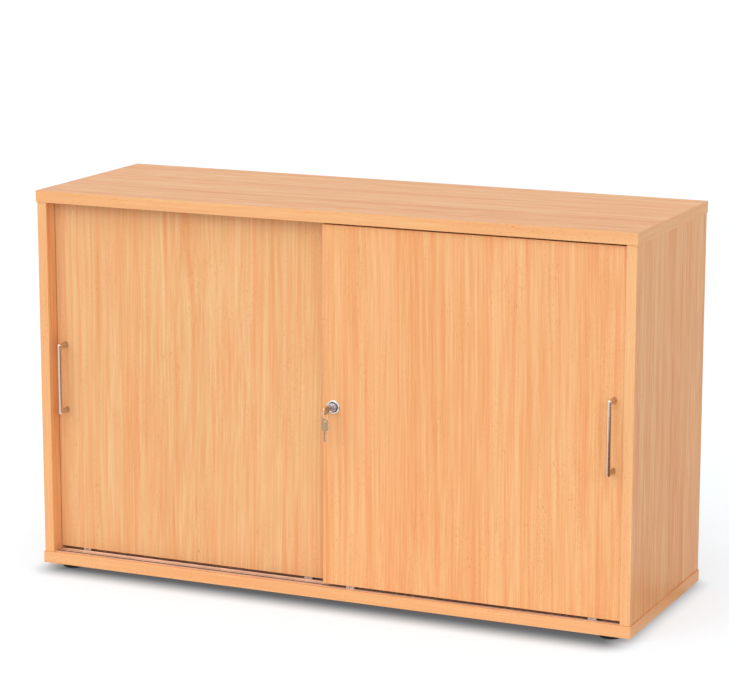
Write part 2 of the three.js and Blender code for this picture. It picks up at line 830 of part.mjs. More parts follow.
function makeLock() {
  const axis = [lockX, 0, doorMiddle];
  piece(frontDoor, "lock_housing", "chrome", lockHousing(), axis);
  piece(frontDoor, "lock_spring", "steel", lockSpring(), axis);
  piece(frontDoor, "lock_plunger", "chrome", lockPlunger(), axis);
  piece(frontDoor, "lock_plug", "chrome", lockPlug(), axis);
  piece(frontDoor, "key", "nickel", keySolid(), [lockX, mainHoleY, doorMiddle]);
  const ring = new THREE.TorusGeometry(ringDiameter / 2, ringWire / 2, smallSides, fineSides);
  const ringMesh = piece(frontDoor, "key_ring", "steel", ring, [lockX, mainHoleY, ringCentreZ]);
  ringMesh.rotation.set(Math.PI / 2, 0, ringTurn, "ZXY");
  const spare = piece(frontDoor, "spare_key", "nickel", keySolid(), [lockX, mainHoleY, spareHoleZ]);
  spare.rotation.set(-Math.PI / 2, 0, Math.PI / 2, "ZXY");
}

makeTopAndBase();
makeUprights();
makeBackPanel();
makeShelves();
makeTracks();
makeFeet();
makeDoors();
makeStrike();
makeLock();

export default cabinet;
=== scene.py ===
# Finished surfaces and fine shapes of a sliding door cabinet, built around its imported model.
# Metres, in the model's frame: X runs along the front, Y towards the back and Z up.
import json
import math

import bmesh
import bpy
from bpy.props import FloatProperty, FloatVectorProperty, IntProperty, PointerProperty
from mathutils import Matrix, Vector


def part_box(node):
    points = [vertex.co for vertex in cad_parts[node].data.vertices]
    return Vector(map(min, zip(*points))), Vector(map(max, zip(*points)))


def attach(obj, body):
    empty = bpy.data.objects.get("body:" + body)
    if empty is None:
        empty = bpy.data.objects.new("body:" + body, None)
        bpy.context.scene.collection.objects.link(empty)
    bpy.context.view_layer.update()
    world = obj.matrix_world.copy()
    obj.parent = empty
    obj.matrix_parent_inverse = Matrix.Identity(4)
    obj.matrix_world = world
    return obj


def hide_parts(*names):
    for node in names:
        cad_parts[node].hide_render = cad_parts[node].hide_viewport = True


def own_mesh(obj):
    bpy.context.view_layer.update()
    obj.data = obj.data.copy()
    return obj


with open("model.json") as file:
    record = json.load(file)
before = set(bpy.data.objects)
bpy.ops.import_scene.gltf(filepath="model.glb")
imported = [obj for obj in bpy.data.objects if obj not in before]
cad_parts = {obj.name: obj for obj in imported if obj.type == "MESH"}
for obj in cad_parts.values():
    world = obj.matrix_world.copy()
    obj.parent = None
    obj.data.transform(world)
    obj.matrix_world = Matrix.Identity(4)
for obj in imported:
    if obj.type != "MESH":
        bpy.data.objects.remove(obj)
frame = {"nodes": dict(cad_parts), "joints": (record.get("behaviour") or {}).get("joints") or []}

bl_info = {
    "name": "Sliding door cabinet",
    "version": (1, 0, 0),
    "blender": (4, 5, 0),
    "location": "3D Viewport > Sidebar > Cabinet",
    "description": "Builds the finished surfaces and fittings of a sliding door cabinet",
    "category": "Object",
}

TURN_TO_AXIS = {  # turns what is made about Z to stand along an axis
    "Y": Matrix.Rotation(math.radians(-90), 4, "X"),
    "Z": Matrix.Identity(4),
}
TINY = 1e-6  # shorter than any edge of the model
MERGE_DISTANCE = 1e-5  # vertices this close are one corner
FLAT_ANGLE = math.radians(0.5)  # faces turned less than this from each other are one face
FLAT_SIDE = math.cos(math.radians(20))  # faces turned less than this from a side are part of it
SHARP_ANGLE = math.radians(40)  # edges sharper than this are bevelled


def length(name, description, default, least=0.0):
    """A property that holds a length in metres."""
    return FloatProperty(
        name=name, description=description, default=default, min=least, precision=5, unit="LENGTH"
    )


def angle(name, description, degrees):
    """A property that holds an angle, from its default in degrees."""
    return FloatProperty(name=name, description=description, default=math.radians(degrees), subtype="ANGLE")


def amount(name, description, default):
    """A property that holds a plain number from 0 up."""
    return FloatProperty(name=name, description=description, default=default, min=0.0)


def share(name, description, default):
    """A property that holds a share from 0 to 1."""
    return FloatProperty(name=name, description=description, default=default, min=0.0, max=1.0)


def count(name, description, default, least=0):
    """A property that holds a whole number."""
    return IntProperty(name=name, description=description, default=default, min=least)


def colour(name, description, default):
    """A property that holds a linear colour."""
    return FloatVectorProperty(
        name=name, description=description, default=default, min=0.0, max=1.0, subtype="COLOR"
    )


class BeechSettings(bpy.types.PropertyGroup):
    """Colours and scale of the beech finish"""

    light: colour("Light", "Palest streaks", (0.945, 0.56, 0.266))
    middle: colour("Middle", "Ground colour between the streaks", (0.90, 0.44, 0.178))
    edge_light: colour("Edge light", "Palest streaks of the edge bands", (0.965, 0.60, 0.30))
    blush: colour("Blush", "Reddest streaks", (0.89, 0.345, 0.145))
    dark: colour("Dark", "Ring lines, fibres and flecks", (0.72, 0.265, 0.085))
    rear_light: colour("Rear door light", "Palest streaks of the rear door", (0.905, 0.585, 0.295))
    rear_middle: colour("Rear door middle", "Ground colour of the rear door", (0.835, 0.44, 0.187))
    figure_width: length("Figure width", "Width of one sweep of ring lines", 0.11)
    figure_length: length("Figure length", "Length of one sweep of ring lines", 1.5)
    figure_rings: amount("Figure rings", "Ring lines across one sweep", 9.0)
    streak_width: length("Streak width", "Width of the broadest streaks", 0.034)
    streak_length: length("Streak length", "Length of the broadest streaks", 1.3)
    blush_width: length("Blush width", "Width of the reddish streaks", 0.013)
    fine_width: length("Fine width", "Width of the fine streaks", 0.0048)
    fine_length: length("Fine length", "Length of the fine streaks", 0.5)
    fibre_width: length("Fibre width", "Width of the finest fibres", 0.0018)
    fleck_width: length("Fleck width", "Width of a dark fleck", 0.0014)
    fleck_length: length("Fleck length", "Length of a dark fleck", 0.007)
    wander: length("Wander", "How far the grain strays sideways", 0.03)
    roughness: share("Roughness", "Roughness of the satin surface", 0.42)
    gloss: share("Gloss", "Strength of the surface's reflections", 0.16)
    relief: length("Relief", "Depth of the pressed grain", 0.00004)
    door_contrast: amount("Door contrast", "Spread of the streaks' tones on the front door", 1.06)
    rear_contrast: amount("Rear door contrast", "Spread of the streaks' tones on the rear door", 0.92)
    edge_contrast: amount("Edge contrast", "Spread of the streaks' tones on the edge bands", 0.45)
    side_contrast: amount("Side contrast", "Spread of the streaks' tones on the carcass", 1.8)


class BoardSettings(bpy.types.PropertyGroup):
    """Edges of the boards"""

    edge_radius: length("Edge radius", "Rounding of the boards' edge bands", 0.00012)
    edge_segments: count("Edge segments", "Faces across a rounded edge", 3, least=1)


class TrackSettings(bpy.types.PropertyGroup):
    """Section of the twin tracks"""

    wall: length("Wall", "Thickness of the section's walls", 0.0015)
    channel_width: length("Channel width", "Inside width of one channel", 0.008)
    web_drop: length("Web drop", "Web between the channels below their lips", 0.002)
    corner: length("Corner", "Rounding of the section's corners", 0.00035)
    flange: length("Flange", "Width of the bottom track's flange on the base, in front", 0.006)
    flange_rise: length("Flange rise", "Height of the flange above the base", 0.0006)


class MetalSettings(bpy.types.PropertyGroup):
    """Colours of the metals and plastics"""

    nickel: colour("Satin nickel", "Colour of the handles' bars", (0.80, 0.645, 0.535))
    # Painted shade: the legs take a darker copy of the bars' nickel, standing in for the shaded wood that
    # they reflect
    cast_nickel: colour("Cast nickel", "Colour of the handles' legs", (0.62, 0.53, 0.45))
    chrome: colour("Chrome", "Colour of the lock's rosette", (0.88, 0.87, 0.84))
    dull_chrome: colour("Dull chrome", "Colour of the lock's knob and plug", (0.56, 0.53, 0.57))
    # Painted light: the keys' flat sides carry their metal with the door's brown reflection painted in, and
    # their edges a pale painted highlight
    key_metal: colour("Key metal", "Colour of the keys' flat sides", (0.47, 0.32, 0.17))
    key_edge: colour("Key edge", "Colour of the keys' edges, as a painted highlight", (0.86, 0.80, 0.70))
    steel: colour("Steel", "Colour of the screws, pins, wires and axles", (0.55, 0.54, 0.52))
    aluminium: colour("Anodised aluminium", "Colour of the tracks", (0.95, 0.62, 0.44))
    grey_plastic: colour("Grey plastic", "Colour of the moulded fittings", (0.58, 0.49, 0.42))
    # Painted shade: the dark brown inside the tracks' channels stands in for the shade that falls in them
    channel: colour("Channel", "Colour of the insides of the tracks, in painted shade", (0.30, 0.16, 0.10))
    # Partly painted shade: the wheels' plastic is darkened to the brown of the shaded gap under the doors
    wheel_plastic: colour("Wheel plastic", "Colour of the wheels", (0.17, 0.10, 0.075))
    # Painted shade: the groove inside the lock's rim is coloured near black where shade falls between the
    # knob and the rosette
    dark_plastic: colour("Dark plastic", "Colour inside the lock's rim", (0.085, 0.085, 0.085))
    black_plastic: colour("Black plastic", "Colour of the feet", (0.018, 0.019, 0.021))


class HandleSettings(bpy.types.PropertyGroup):
    """Sizes of the bow handles and their screws"""

    bar_radius: length("Bar radius", "Radius of a handle's bar", 0.00375)
    leg_neck: length("Leg neck", "Height of a handle's leg at the bar", 0.0095)
    leg_foot: length("Leg foot", "Height of a handle's leg at the door", 0.012)
    leg_width: length("Leg width", "Width of a handle's leg at the door", 0.009)
    pitch: length("Pitch", "Distance between a handle's legs", 0.128)
    cast_detail: length("Cast detail", "Size of the faces on a handle", 0.00045)
    screw_radius: length("Screw radius", "Radius of a handle screw's shank", 0.002)
    slot_width: length("Slot width", "Width of a screw's crossed slots", 0.001)
    slot_depth: length("Slot depth", "Depth of a screw's crossed slots", 0.0012)


class RollerSettings(bpy.types.PropertyGroup):
    """Sizes of the rollers and the sprung guides"""

    wheel_width: length("Wheel width", "Width of a wheel's tread", 0.006)
    axle_radius: length("Axle radius", "Radius of a wheel's axle", 0.0015)
    hub_radius: length("Hub radius", "Radius of a wheel's hub", 0.0036)
    rim_width: length("Rim width", "Width of the rim beside a wheel's recess", 0.0018)
    recess: length("Recess", "Depth of the recess in a wheel's side", 0.0008)
    edge_radius: length("Edge radius", "Rounding of wheels and turned fittings", 0.0006)
    moulded_edge: length("Moulded edge", "Bevel of the carriers and the strike", 0.00035)
    pin_radius: length("Pin radius", "Radius of a guide pin's neck", 0.0035)
    collar_height: length("Collar height", "Height of a guide pin's collar", 0.005)
    sleeve_bore: length("Sleeve bore", "Radius inside a guide's sleeve", 0.0048)
    sleeve_mouth: length("Sleeve mouth", "Radius of the hole in a sleeve's lip", 0.0038)
    sleeve_lip: length("Sleeve lip", "Thickness of a sleeve's lip", 0.0015)


class LockSettings(bpy.types.PropertyGroup):
    """Sizes of the push lock"""

    bevel: length("Bevel", "Rounding of the rosette's front", 0.0012)
    rim_width: length("Rim width", "Width of the rosette's bright rim", 0.0026)
    # the groove's dark colour is painted shade
    groove_depth: length("Groove depth", "Depth of the dark groove inside the rim", 0.0012)
    bore: length("Bore", "Radius of the barrel's bore", 0.0088)
    barrel_radius: length("Barrel radius", "Radius of the barrel in the door", 0.010)
    rosette_thickness: length("Rosette thickness", "Thickness of the rosette", 0.0025)
    rear_wall: length("Rear wall", "Wall at the barrel's back", 0.002)
    bolt_radius: length("Bolt radius", "Radius of the bolt", 0.004)
    bolt_gap: length("Bolt gap", "Gap round the bolt", 0.0003)
    knob_length: length("Knob length", "Length of the push knob", 0.016)
    knob_edge: length("Knob edge", "Rounding of the push knob's front", 0.0024)
    seat_depth: length("Seat depth", "Depth of the plug's seat in the knob", 0.0143)
    plug_radius: length("Plug radius", "Radius of the key's plug", 0.005)
    keyway_width: length("Keyway width", "Width of the keyway", 0.0022)
    keyway_height: length("Keyway height", "Height of the keyway", 0.0066)
    spring_wire: length("Spring wire", "Thickness of the spring's wire", 0.001)
    spring_radius: length("Spring radius", "Radius of the spring's coil", 0.0055)
    spring_turns: amount("Spring turns", "Turns of the spring", 4.0)
    travel: length("Travel", "How far the knob is pressed in", 0.007)
    strike_seat: length("Strike seat", "Radius of the seats of the strike's screws", 0.0031)
    strike_sink: length("Strike sink", "Depth of the seats of the strike's screws", 0.002)
    strike_hole: length("Strike hole", "Radius of the strike's screw holes", 0.0018)


class KeySettings(bpy.types.PropertyGroup):
    """Sizes of the keys and their ring"""

    thickness: length("Thickness", "Thickness of a key", 0.0016)
    bow_length: length("Bow length", "Length of a key's bow", 0.024)
    bow_height: length("Bow height", "Height of a key's bow", 0.015)
    bow_corner: length("Bow corner", "Corner radius of a key's bow", 0.005)
    blade_length: length("Blade length", "Length of a key's blade", 0.020)
    blade_height: length("Blade height", "Height of a key's blade", 0.006)
    hole_radius: length("Hole radius", "Radius of the hole in a key's bow", 0.003)
    hole_offset: length("Hole offset", "Bow's end to the hole's centre", 0.005)
    bite_depth: length("Bite depth", "Depth of the cuts in a blade", 0.0015)
    bite_width: length("Bite width", "Width of the cuts in a blade", 0.0024)
    bite_spacing: length("Bite spacing", "Distance between the cuts in a blade", 0.004)
    bites: count("Cuts", "Cuts in a blade", 3)
    tip_chamfer: length("Tip chamfer", "Chamfer of a blade's tip", 0.002)
    edge: length("Edge", "Bevel of a key's edges", 0.0004)
    groove_height: length("Groove height", "Height of the groove along a blade", 0.0012)
    groove_depth: length("Groove depth", "Depth of the groove along a blade", 0.0004)
    ring_radius: length("Ring radius", "Radius of the key ring", 0.0075)
    ring_wire: length("Ring wire", "Thickness of the key ring's wire", 0.00068)
    ring_turns: amount("Ring turns", "Turns of the split ring", 2.0)
    ring_yaw: angle("Ring yaw", "How far the ring hangs askew", 45)


class FootSettings(bpy.types.PropertyGroup):
    """Sizes of the levelling feet and their inserts"""

    edge_radius: length("Edge radius", "Rounding of a foot's lower edge", 0.0015)
    rim_height: length("Rim height", "Height of a foot's rim", 0.0045)
    hub_radius: length("Hub radius", "Radius of a foot's hub", 0.009)
    hub_rise: length("Hub rise", "Top of the hub below the base", 0.002)
    gap: length("Gap", "Gap between the hub and the insert", 0.0003)
    stem_radius: length("Stem radius", "Radius of a foot's stem", 0.004)
    insert_bore: length("Insert bore", "Radius inside an insert", 0.0043)
    ribs: count("Ribs", "Grip ribs round a foot", 40, least=3)
    rib_radius: length("Rib radius", "Radius of a grip rib", 0.0008)


class ShelfPinSettings(bpy.types.PropertyGroup):
    """Sizes of the shelf pins"""

    shank_radius: length("Shank radius", "Radius of a pin in its hole", 0.0025)
    head_radius: length("Head radius", "Radius of a pin under its shelf", 0.00325)
    head_length: length("Head length", "Length of a pin under its shelf", 0.0087)
    end_radius: length("End radius", "Radius of the flat on a pin's rounded end", 0.0026)


class StageSettings(bpy.types.PropertyGroup):
    """Camera, lamps and floor"""

    camera_place: FloatVectorProperty(
        name="Camera place", description="Where the camera stands", subtype="TRANSLATION",
        unit="LENGTH", default=(2.1169, -4.7049, 1.5298),
    )
    camera_yaw: angle("Camera yaw", "Turn of the camera to the left", 24.213)
    camera_pitch: angle("Camera pitch", "Tilt of the camera downwards", 11.73)
    camera_lens: FloatProperty(
        name="Camera lens", description="Focal length", default=137.96, unit="CAMERA"
    )
    sky_strength: amount("Sky strength", "Strength of the even light from all round", 0.57)
    key_share: amount("Key share", "Light of the key lamp on a surface that faces it", 0.38)
    key_elevation: angle("Key elevation", "Height of the key lamp", 42)
    key_azimuth: angle("Key azimuth", "Key lamp's place to the left of the front", 18)
    key_spread: angle("Key spread", "Apparent size of the key lamp", 60)
    fill_share: amount("Fill share", "Light of the fill lamp on a surface that faces it", 0.14)
    fill_elevation: angle("Fill elevation", "Height of the fill lamp", 20)
    fill_azimuth: angle("Fill azimuth", "Fill lamp's place to the right of the front", 40)
    fill_spread: angle("Fill spread", "Apparent size of the fill lamp", 25)
    floor_size: length("Floor size", "Side of the floor", 60.0)
    floor_colour: colour("Floor colour", "Colour of the floor", (0.86, 0.86, 0.86))
    seen_colour: colour("Seen colour", "Colour of the floor as the camera sees it", (0.42, 0.46, 0.50))
    floor_glow: share("Floor glow", "Brightness added to the floor as the camera sees it", 0.65)
    shade_colour: colour("Shade colour", "Tint of the floor under the cabinet", (0.17, 0.178, 0.184))
    shade_start: length(
        "Shade start", "Where the contact shade is full, outside the base's front", -0.012, least=-1.0
    )
    shade_turn: angle(
        "Shade turn", "Turn of the contact shade, further out at the front's right end", 0.75
    )
    shade_reach: length("Shade reach", "How far the contact shade reaches", 0.074)
    shade_narrowing: length("Shade narrowing", "How much less the shade reaches at the sides", 0.044)
    halo_reach: length("Halo reach", "How far the faint shade round the cabinet reaches", 0.34)
    halo_share: share("Halo share", "Strength of the faint shade", 0.045)
    card_colour: colour("Card colour", "Colour of the cards that the metal reflects", (0.24, 0.09, 0.03))
    card_height: length("Card height", "Height of a dark card above the floor", 0.002)


# Materials

class NodeMaker:
    """Adds nodes to a tree, with their settings and inputs in one call."""

    def __init__(self, tree):
        self.tree = tree

    def feed(self, node, inputs):
        """Links or sets a node's inputs, by name or number."""
        for key, value in inputs.items():
            if isinstance(value, bpy.types.NodeSocket):
                self.tree.links.new(value, node.inputs[key])
            else:
                node.inputs[key].default_value = value

    def add(self, kind, inputs=None, **settings):
        """A new node."""
        node = self.tree.nodes.new(kind)
        for name, value in settings.items():
            setattr(node, name, value)
        self.feed(node, inputs or {})
        return node

    def gather(self, kind, socket, sources, inputs=None, **settings):
        """What a new node makes of several sources on one socket."""
        node = self.add(kind, inputs, **settings)
        for source in sources:
            self.tree.links.new(source, node.inputs[socket])
        return node.outputs[0]

    def math(self, operation, *values):
        """The result of a sum on numbers."""
        return self.add("ShaderNodeMath", dict(enumerate(values)), operation=operation).outputs[0]

    def vector_math(self, operation, *values):
        """The result of a sum on vectors."""
        return self.add("ShaderNodeVectorMath", dict(enumerate(values)), operation=operation).outputs[0]

    def combine(self, x=0.0, y=0.0, z=0.0):
        """A vector from its three parts."""
        return self.add("ShaderNodeCombineXYZ", {0: x, 1: y, 2: z}).outputs[0]

    def mix(self, factor, first, second):
        """A colour between two others."""
        return self.add("ShaderNodeMix", {0: factor, 6: first, 7: second}, data_type="RGBA").outputs[2]

    def remap(self, value, low, high, to_low=0.0, to_high=1.0, smooth=False):
        """A number taken from one range to another, and held inside it."""
        ranges = {"Value": value, "From Min": low, "From Max": high, "To Min": to_low, "To Max": to_high}
        kind = "SMOOTHSTEP" if smooth else "LINEAR"
        return self.add("ShaderNodeMapRange", ranges, interpolation_type=kind).outputs[0]

    def noise(self, vector, width, run, detail=2.0, roughness=0.5):
        """Noise whose patches are about width across the grain and run along it."""
        stretched = self.vector_math("MULTIPLY", vector, (1 / width, 1 / width, 1 / run))
        return self.add(
            "ShaderNodeTexNoise",
            {"Vector": stretched, "Scale": 1.0, "Detail": detail, "Roughness": roughness},
        )

    def moved(self, geometry, offset, turn=(0.0, 0.0, 0.0)):
        """Geometry turned and moved by an offset."""
        inputs = {"Geometry": geometry, "Translation": offset, "Rotation": turn}
        return self.add("GeometryNodeTransform", inputs).outputs[0]


def new_group(kind, name, inputs, outputs):
    """A node tree with named sockets, its input node and its output node."""
    tree = bpy.data.node_groups.new(name, kind)
    for label, socket in inputs.items():
        tree.interface.new_socket(name=label, in_out="INPUT", socket_type=socket)
    for label, socket in outputs.items():
        tree.interface.new_socket(name=label, in_out="OUTPUT", socket_type=socket)
    return tree, tree.nodes.new("NodeGroupInput"), tree.nodes.new("NodeGroupOutput")


def sockets(kind, *names):
    """Names for sockets of one kind, such as Color, Float or Vector."""
    return dict.fromkeys(names, f"NodeSocket{kind}")


def cached(maker_function):
    """Keeps what a function made for the same words, so that pieces share it."""
    made = {}

    def wrapper(*words):
        if words not in made:
            made[words] = maker_function(*words)
        return made[words]

    return wrapper


# Ranges of the beech figure, as the noise's low and high ends, with what they turn into
RING_DARKENS = (0.0, 0.7)
RING_ENDS = (0.78, 1.0, 1.0, 0.0)
RING_PRESENCE = (0.4, 0.7, 0.2, 1.0)
FLECK_CORES = (0.6, 0.72)
FLECK_CLUSTERS = (0.42, 0.7, 0.12, 0.75)
FIBRE_RANGE = (0.3, 0.7)
ROUGHNESS_SPREAD = (-0.04, 0.05)
FIBRE_STRETCH = 60  # length of a fibre in its widths
DRIFT_SPREAD = 3  # width of the grain's wandering in figure widths
BLUSH_RUN = 0.5  # lengths in streak lengths
CLUSTER_RUN = 0.125

# Layers of the beech figure: their noise, where it starts and is full, how strong it gets, their colour
BROAD_LAYERS = [
    ("streaks", 0.34, 0.66, 1.0, "Middle"),
    ("blushes", 0.46, 0.74, 0.7, "Blush"),
    ("fine", 0.5, 0.72, 0.7, "Light"),
    ("fine", 0.5, 0.28, 0.6, "Blush"),
]
FINE_LAYERS = [
    ("streaks", 0.58, 0.8, 0.3, "Dark"),
    ("fibres", 0.42, 0.75, 0.3, "Dark"),
    ("fibres", 0.45, 0.25, 0.3, "Light"),
]


@cached
def beech_grain_group():
    """Beech figure on a position whose Z runs along the grain."""
    beech = bpy.context.scene.cabinet_beech
    tree, start, end = new_group(
        "ShaderNodeTree", "Beech grain",
        sockets("Vector", "Position") | sockets("Color", "Light", "Middle", "Blush", "Dark")
        | sockets("Float", "Figure", "Contrast"),
        sockets("Color", "Color") | sockets("Float", "Roughness", "Height"),
    )
    maker = NodeMaker(tree)
    given = start.outputs
    drift = maker.noise(given["Position"], DRIFT_SPREAD * beech.figure_width, beech.figure_length)
    centred = maker.vector_math("SUBTRACT", drift.outputs["Color"], (0.5, 0.5, 0.5))
    sideways = (2 * beech.wander, 2 * beech.wander, 0.0)
    strayed = maker.vector_math("MULTIPLY_ADD", centred, sideways, given["Position"])

    figure = maker.noise(strayed, beech.figure_width, beech.figure_length, detail=1.0).outputs[0]
    ring_phase = maker.math("FRACT", maker.math("MULTIPLY", figure, 2 * beech.figure_rings))
    rising = maker.remap(ring_phase, *RING_DARKENS, smooth=True)
    falling = maker.remap(ring_phase, *RING_ENDS, smooth=True)
    ring_strength = maker.math("MULTIPLY", given["Figure"], maker.remap(figure, *RING_PRESENCE))
    rings = maker.math("MULTIPLY", maker.math("MULTIPLY", rising, falling), ring_strength)

    levelling = maker.math("SUBTRACT", 0.5, maker.math("MULTIPLY", given["Contrast"], 0.5))

    def bands(width, run, detail, roughness):
        """Noise stretched along the grain, spread about its middle by the contrast."""
        noise = maker.noise(strayed, width, run, detail, roughness).outputs[0]
        return maker.math("MULTIPLY_ADD", noise, given["Contrast"], levelling)

    noises = {
        "streaks": bands(beech.streak_width, beech.streak_length, detail=4.0, roughness=0.7),
        "blushes": bands(beech.blush_width, BLUSH_RUN * beech.streak_length, detail=3.0, roughness=0.6),
        "fine": bands(beech.fine_width, beech.fine_length, detail=2.0, roughness=0.6),
        "fibres": bands(beech.fibre_width, FIBRE_STRETCH * beech.fibre_width, detail=2.0, roughness=0.5),
    }
    cores = maker.noise(strayed, beech.fleck_width, beech.fleck_length, detail=1.0).outputs[0]
    clusters = maker.noise(strayed, beech.streak_width, CLUSTER_RUN * beech.streak_length).outputs[0]
    flecks = maker.math(
        "MULTIPLY", maker.remap(cores, *FLECK_CORES, smooth=True), maker.remap(clusters, *FLECK_CLUSTERS)
    )

    def layered(tone, layers):
        """A tone with layers of the figure laid over it."""
        for name, low, high, strength, colour_name in layers:
            tone = maker.mix(maker.remap(noises[name], low, high, 0.0, strength), tone, given[colour_name])
        return tone

    tone = layered(given["Light"], BROAD_LAYERS)
    tone = layered(maker.mix(rings, tone, given["Dark"]), FINE_LAYERS)
    roughness_range = [beech.roughness + change for change in ROUGHNESS_SPREAD]
    maker.feed(end, {
        "Color": maker.mix(flecks, tone, given["Dark"]),
        "Roughness": maker.remap(noises["fibres"], *FIBRE_RANGE, *roughness_range),
        "Height": maker.math("SUBTRACT", noises["fibres"], flecks),
    })
    return tree


@cached
def wear_group():
    """Broad mottling and fine lines for metals and plastics, on a position whose Z runs along the lines."""
    tree, start, end = new_group(
        "ShaderNodeTree", "Surface wear",
        sockets("Vector", "Position") | sockets("Float", "Line Width", "Line Run", "Patch"),
        sockets("Float", "Mottle", "Lines"),
    )
    maker = NodeMaker(tree)
    given = start.outputs

    def patches(width, run, detail):
        """Noise whose patches have the width and the run that the group is given."""
        across = maker.math("DIVIDE", 1.0, width)
        sizes = maker.combine(across, across, maker.math("DIVIDE", 1.0, run))
        scaled = maker.vector_math("MULTIPLY", given["Position"], sizes)
        noise = maker.add("ShaderNodeTexNoise", {"Vector": scaled, "Scale": 1.0, "Detail": detail})
        return noise.outputs[0]

    maker.feed(end, {
        "Mottle": patches(given["Patch"], given["Patch"], detail=3.0),
        "Lines": patches(given["Line Width"], given["Line Run"], detail=2.0),
    })
    return tree


def new_material(name):
    """An empty node material, its node maker and its shader."""
    material = bpy.data.materials.new(name)
    material.use_nodes = True
    material.node_tree.nodes.clear()
    maker = NodeMaker(material.node_tree)
    shader = maker.add("ShaderNodeBsdfPrincipled")
    maker.add("ShaderNodeOutputMaterial", {"Surface": shader.outputs[0]})
    return material, maker, shader


def opaque(tint):
    """A colour with its alpha."""
    return (*tint, 1.0)


GRAIN_TURNS = {
    "X": (0.0, math.radians(-90), 0.0),
    "Y": (math.radians(90), 0.0, 0.0),
    "Z": (0.0, 0.0, 0.0),
}


def grain_position(maker, axis, offset=(0.0, 0.0, 0.0)):
    """Object coordinates turned so that Z runs along the named axis."""
    place = maker.add("ShaderNodeTexCoord").outputs["Object"]
    inputs = {"Vector": place, "Rotation": GRAIN_TURNS[axis], "Location": offset}
    return maker.add("ShaderNodeMapping", inputs).outputs[0]


# Each kind of board: where in the endless figure it is cut, and the property of its contrast
BOARD_CUTS = {
    "carcass": ((0.0, 0.0, 0.0), "side_contrast"),
    "rear door": ((3.1, 0.7, 1.3), "rear_contrast"),
    "front door": ((7.45, 2.2, 4.1), "door_contrast"),
    "back": ((5.2, 3.3, 0.9), "door_contrast"),
    "edge": ((4.3, 9.0, 0.4), "edge_contrast"),
}
BOARD_FIGURE = 0.2  # strength of the ring lines on a board's faces
EDGE_FIGURE = 0.06  # and on its edge bands
GRAIN_BUMP = 0.35
WEAR_BUMP = 0.4


@cached
def beech_material(board, axis):
    """Beech with its grain along the named axis."""
    beech = bpy.context.scene.cabinet_beech
    material, maker, shader = new_material(f"beech {board} {axis}")
    offset, contrast = BOARD_CUTS[board]
    light = {"rear door": beech.rear_light, "edge": beech.edge_light}.get(board, beech.light)
    middle = beech.rear_middle if board == "rear door" else beech.middle
    values = {
        "Position": grain_position(maker, axis, offset),
        "Light": opaque(light),
        "Middle": opaque(middle),
        "Blush": opaque(beech.blush),
        "Dark": opaque(beech.dark),
        "Figure": EDGE_FIGURE if board == "edge" else BOARD_FIGURE,
        "Contrast": getattr(beech, contrast),
    }
    grain = maker.add("ShaderNodeGroup", values, node_tree=beech_grain_group()).outputs
    relief = {"Strength": GRAIN_BUMP, "Distance": beech.relief, "Height": grain["Height"]}
    maker.feed(shader, {
        "Base Color": grain["Color"],
        "Roughness": grain["Roughness"],
        "Normal": maker.add("ShaderNodeBump", relief).outputs[0],
        "Specular IOR Level": beech.gloss,
    })
    return material


# Each finish: colour property, metallic, roughness range, direction and size of its lines, patch, relief
FINISHES = {
    "satin nickel": ("nickel", 1.0, (0.14, 0.16), "Z", (0.00012, 0.06), 0.08, 0.0000002),
    # the legs' darker nickel is painted shade, on a rougher surface
    "cast nickel": ("cast_nickel", 1.0, (0.24, 0.3), "Z", (0.0002, 0.01), 0.02, 0.000001),
    "chrome": ("chrome", 0.65, (0.06, 0.14), "Z", (0.0004, 0.003), 0.006, 0.000002),
    "dull chrome": ("dull_chrome", 0.7, (0.2, 0.3), "Z", (0.0004, 0.003), 0.004, 0.000004),
    # painted reflection on the keys' sides and painted highlight on their edges
    "key metal": ("key_metal", 0.25, (0.2, 0.36), "Z", (0.00015, 0.004), 0.004, 0.000006),
    "key edge": ("key_edge", 1.0, (0.16, 0.3), "Z", (0.00015, 0.004), 0.004, 0.000004),
    # painted shade in the lock's groove
    "dark plastic": ("dark_plastic", 0.0, (0.35, 0.5), "Z", (0.0003, 0.0003), 0.004, 0.00001),
    "steel": ("steel", 1.0, (0.26, 0.4), "Z", (0.0002, 0.002), 0.003, 0.000005),
    "aluminium": ("aluminium", 0.2, (0.3, 0.42), "X", (0.0002, 0.06), 0.05, 0.000006),
    # painted shade inside the tracks' channels
    "channel": ("channel", 0.2, (0.4, 0.55), "X", (0.0002, 0.06), 0.05, 0.000006),
    "grey plastic": ("grey_plastic", 0.0, (0.48, 0.6), "Z", (0.0003, 0.0003), 0.008, 0.00001),
    # the wheels' plastic darkened as painted shade
    "wheel plastic": ("wheel_plastic", 0.0, (0.42, 0.56), "Z", (0.0003, 0.0003), 0.01, 0.00001),
    "black plastic": ("black_plastic", 0.0, (0.42, 0.56), "Z", (0.0003, 0.0003), 0.01, 0.00001),
}
DULL_SHARE = 0.82  # brightness of a finish's darker patches
MOTTLE_RANGE = (0.35, 0.7)
LINE_RANGE = (0.3, 0.7)


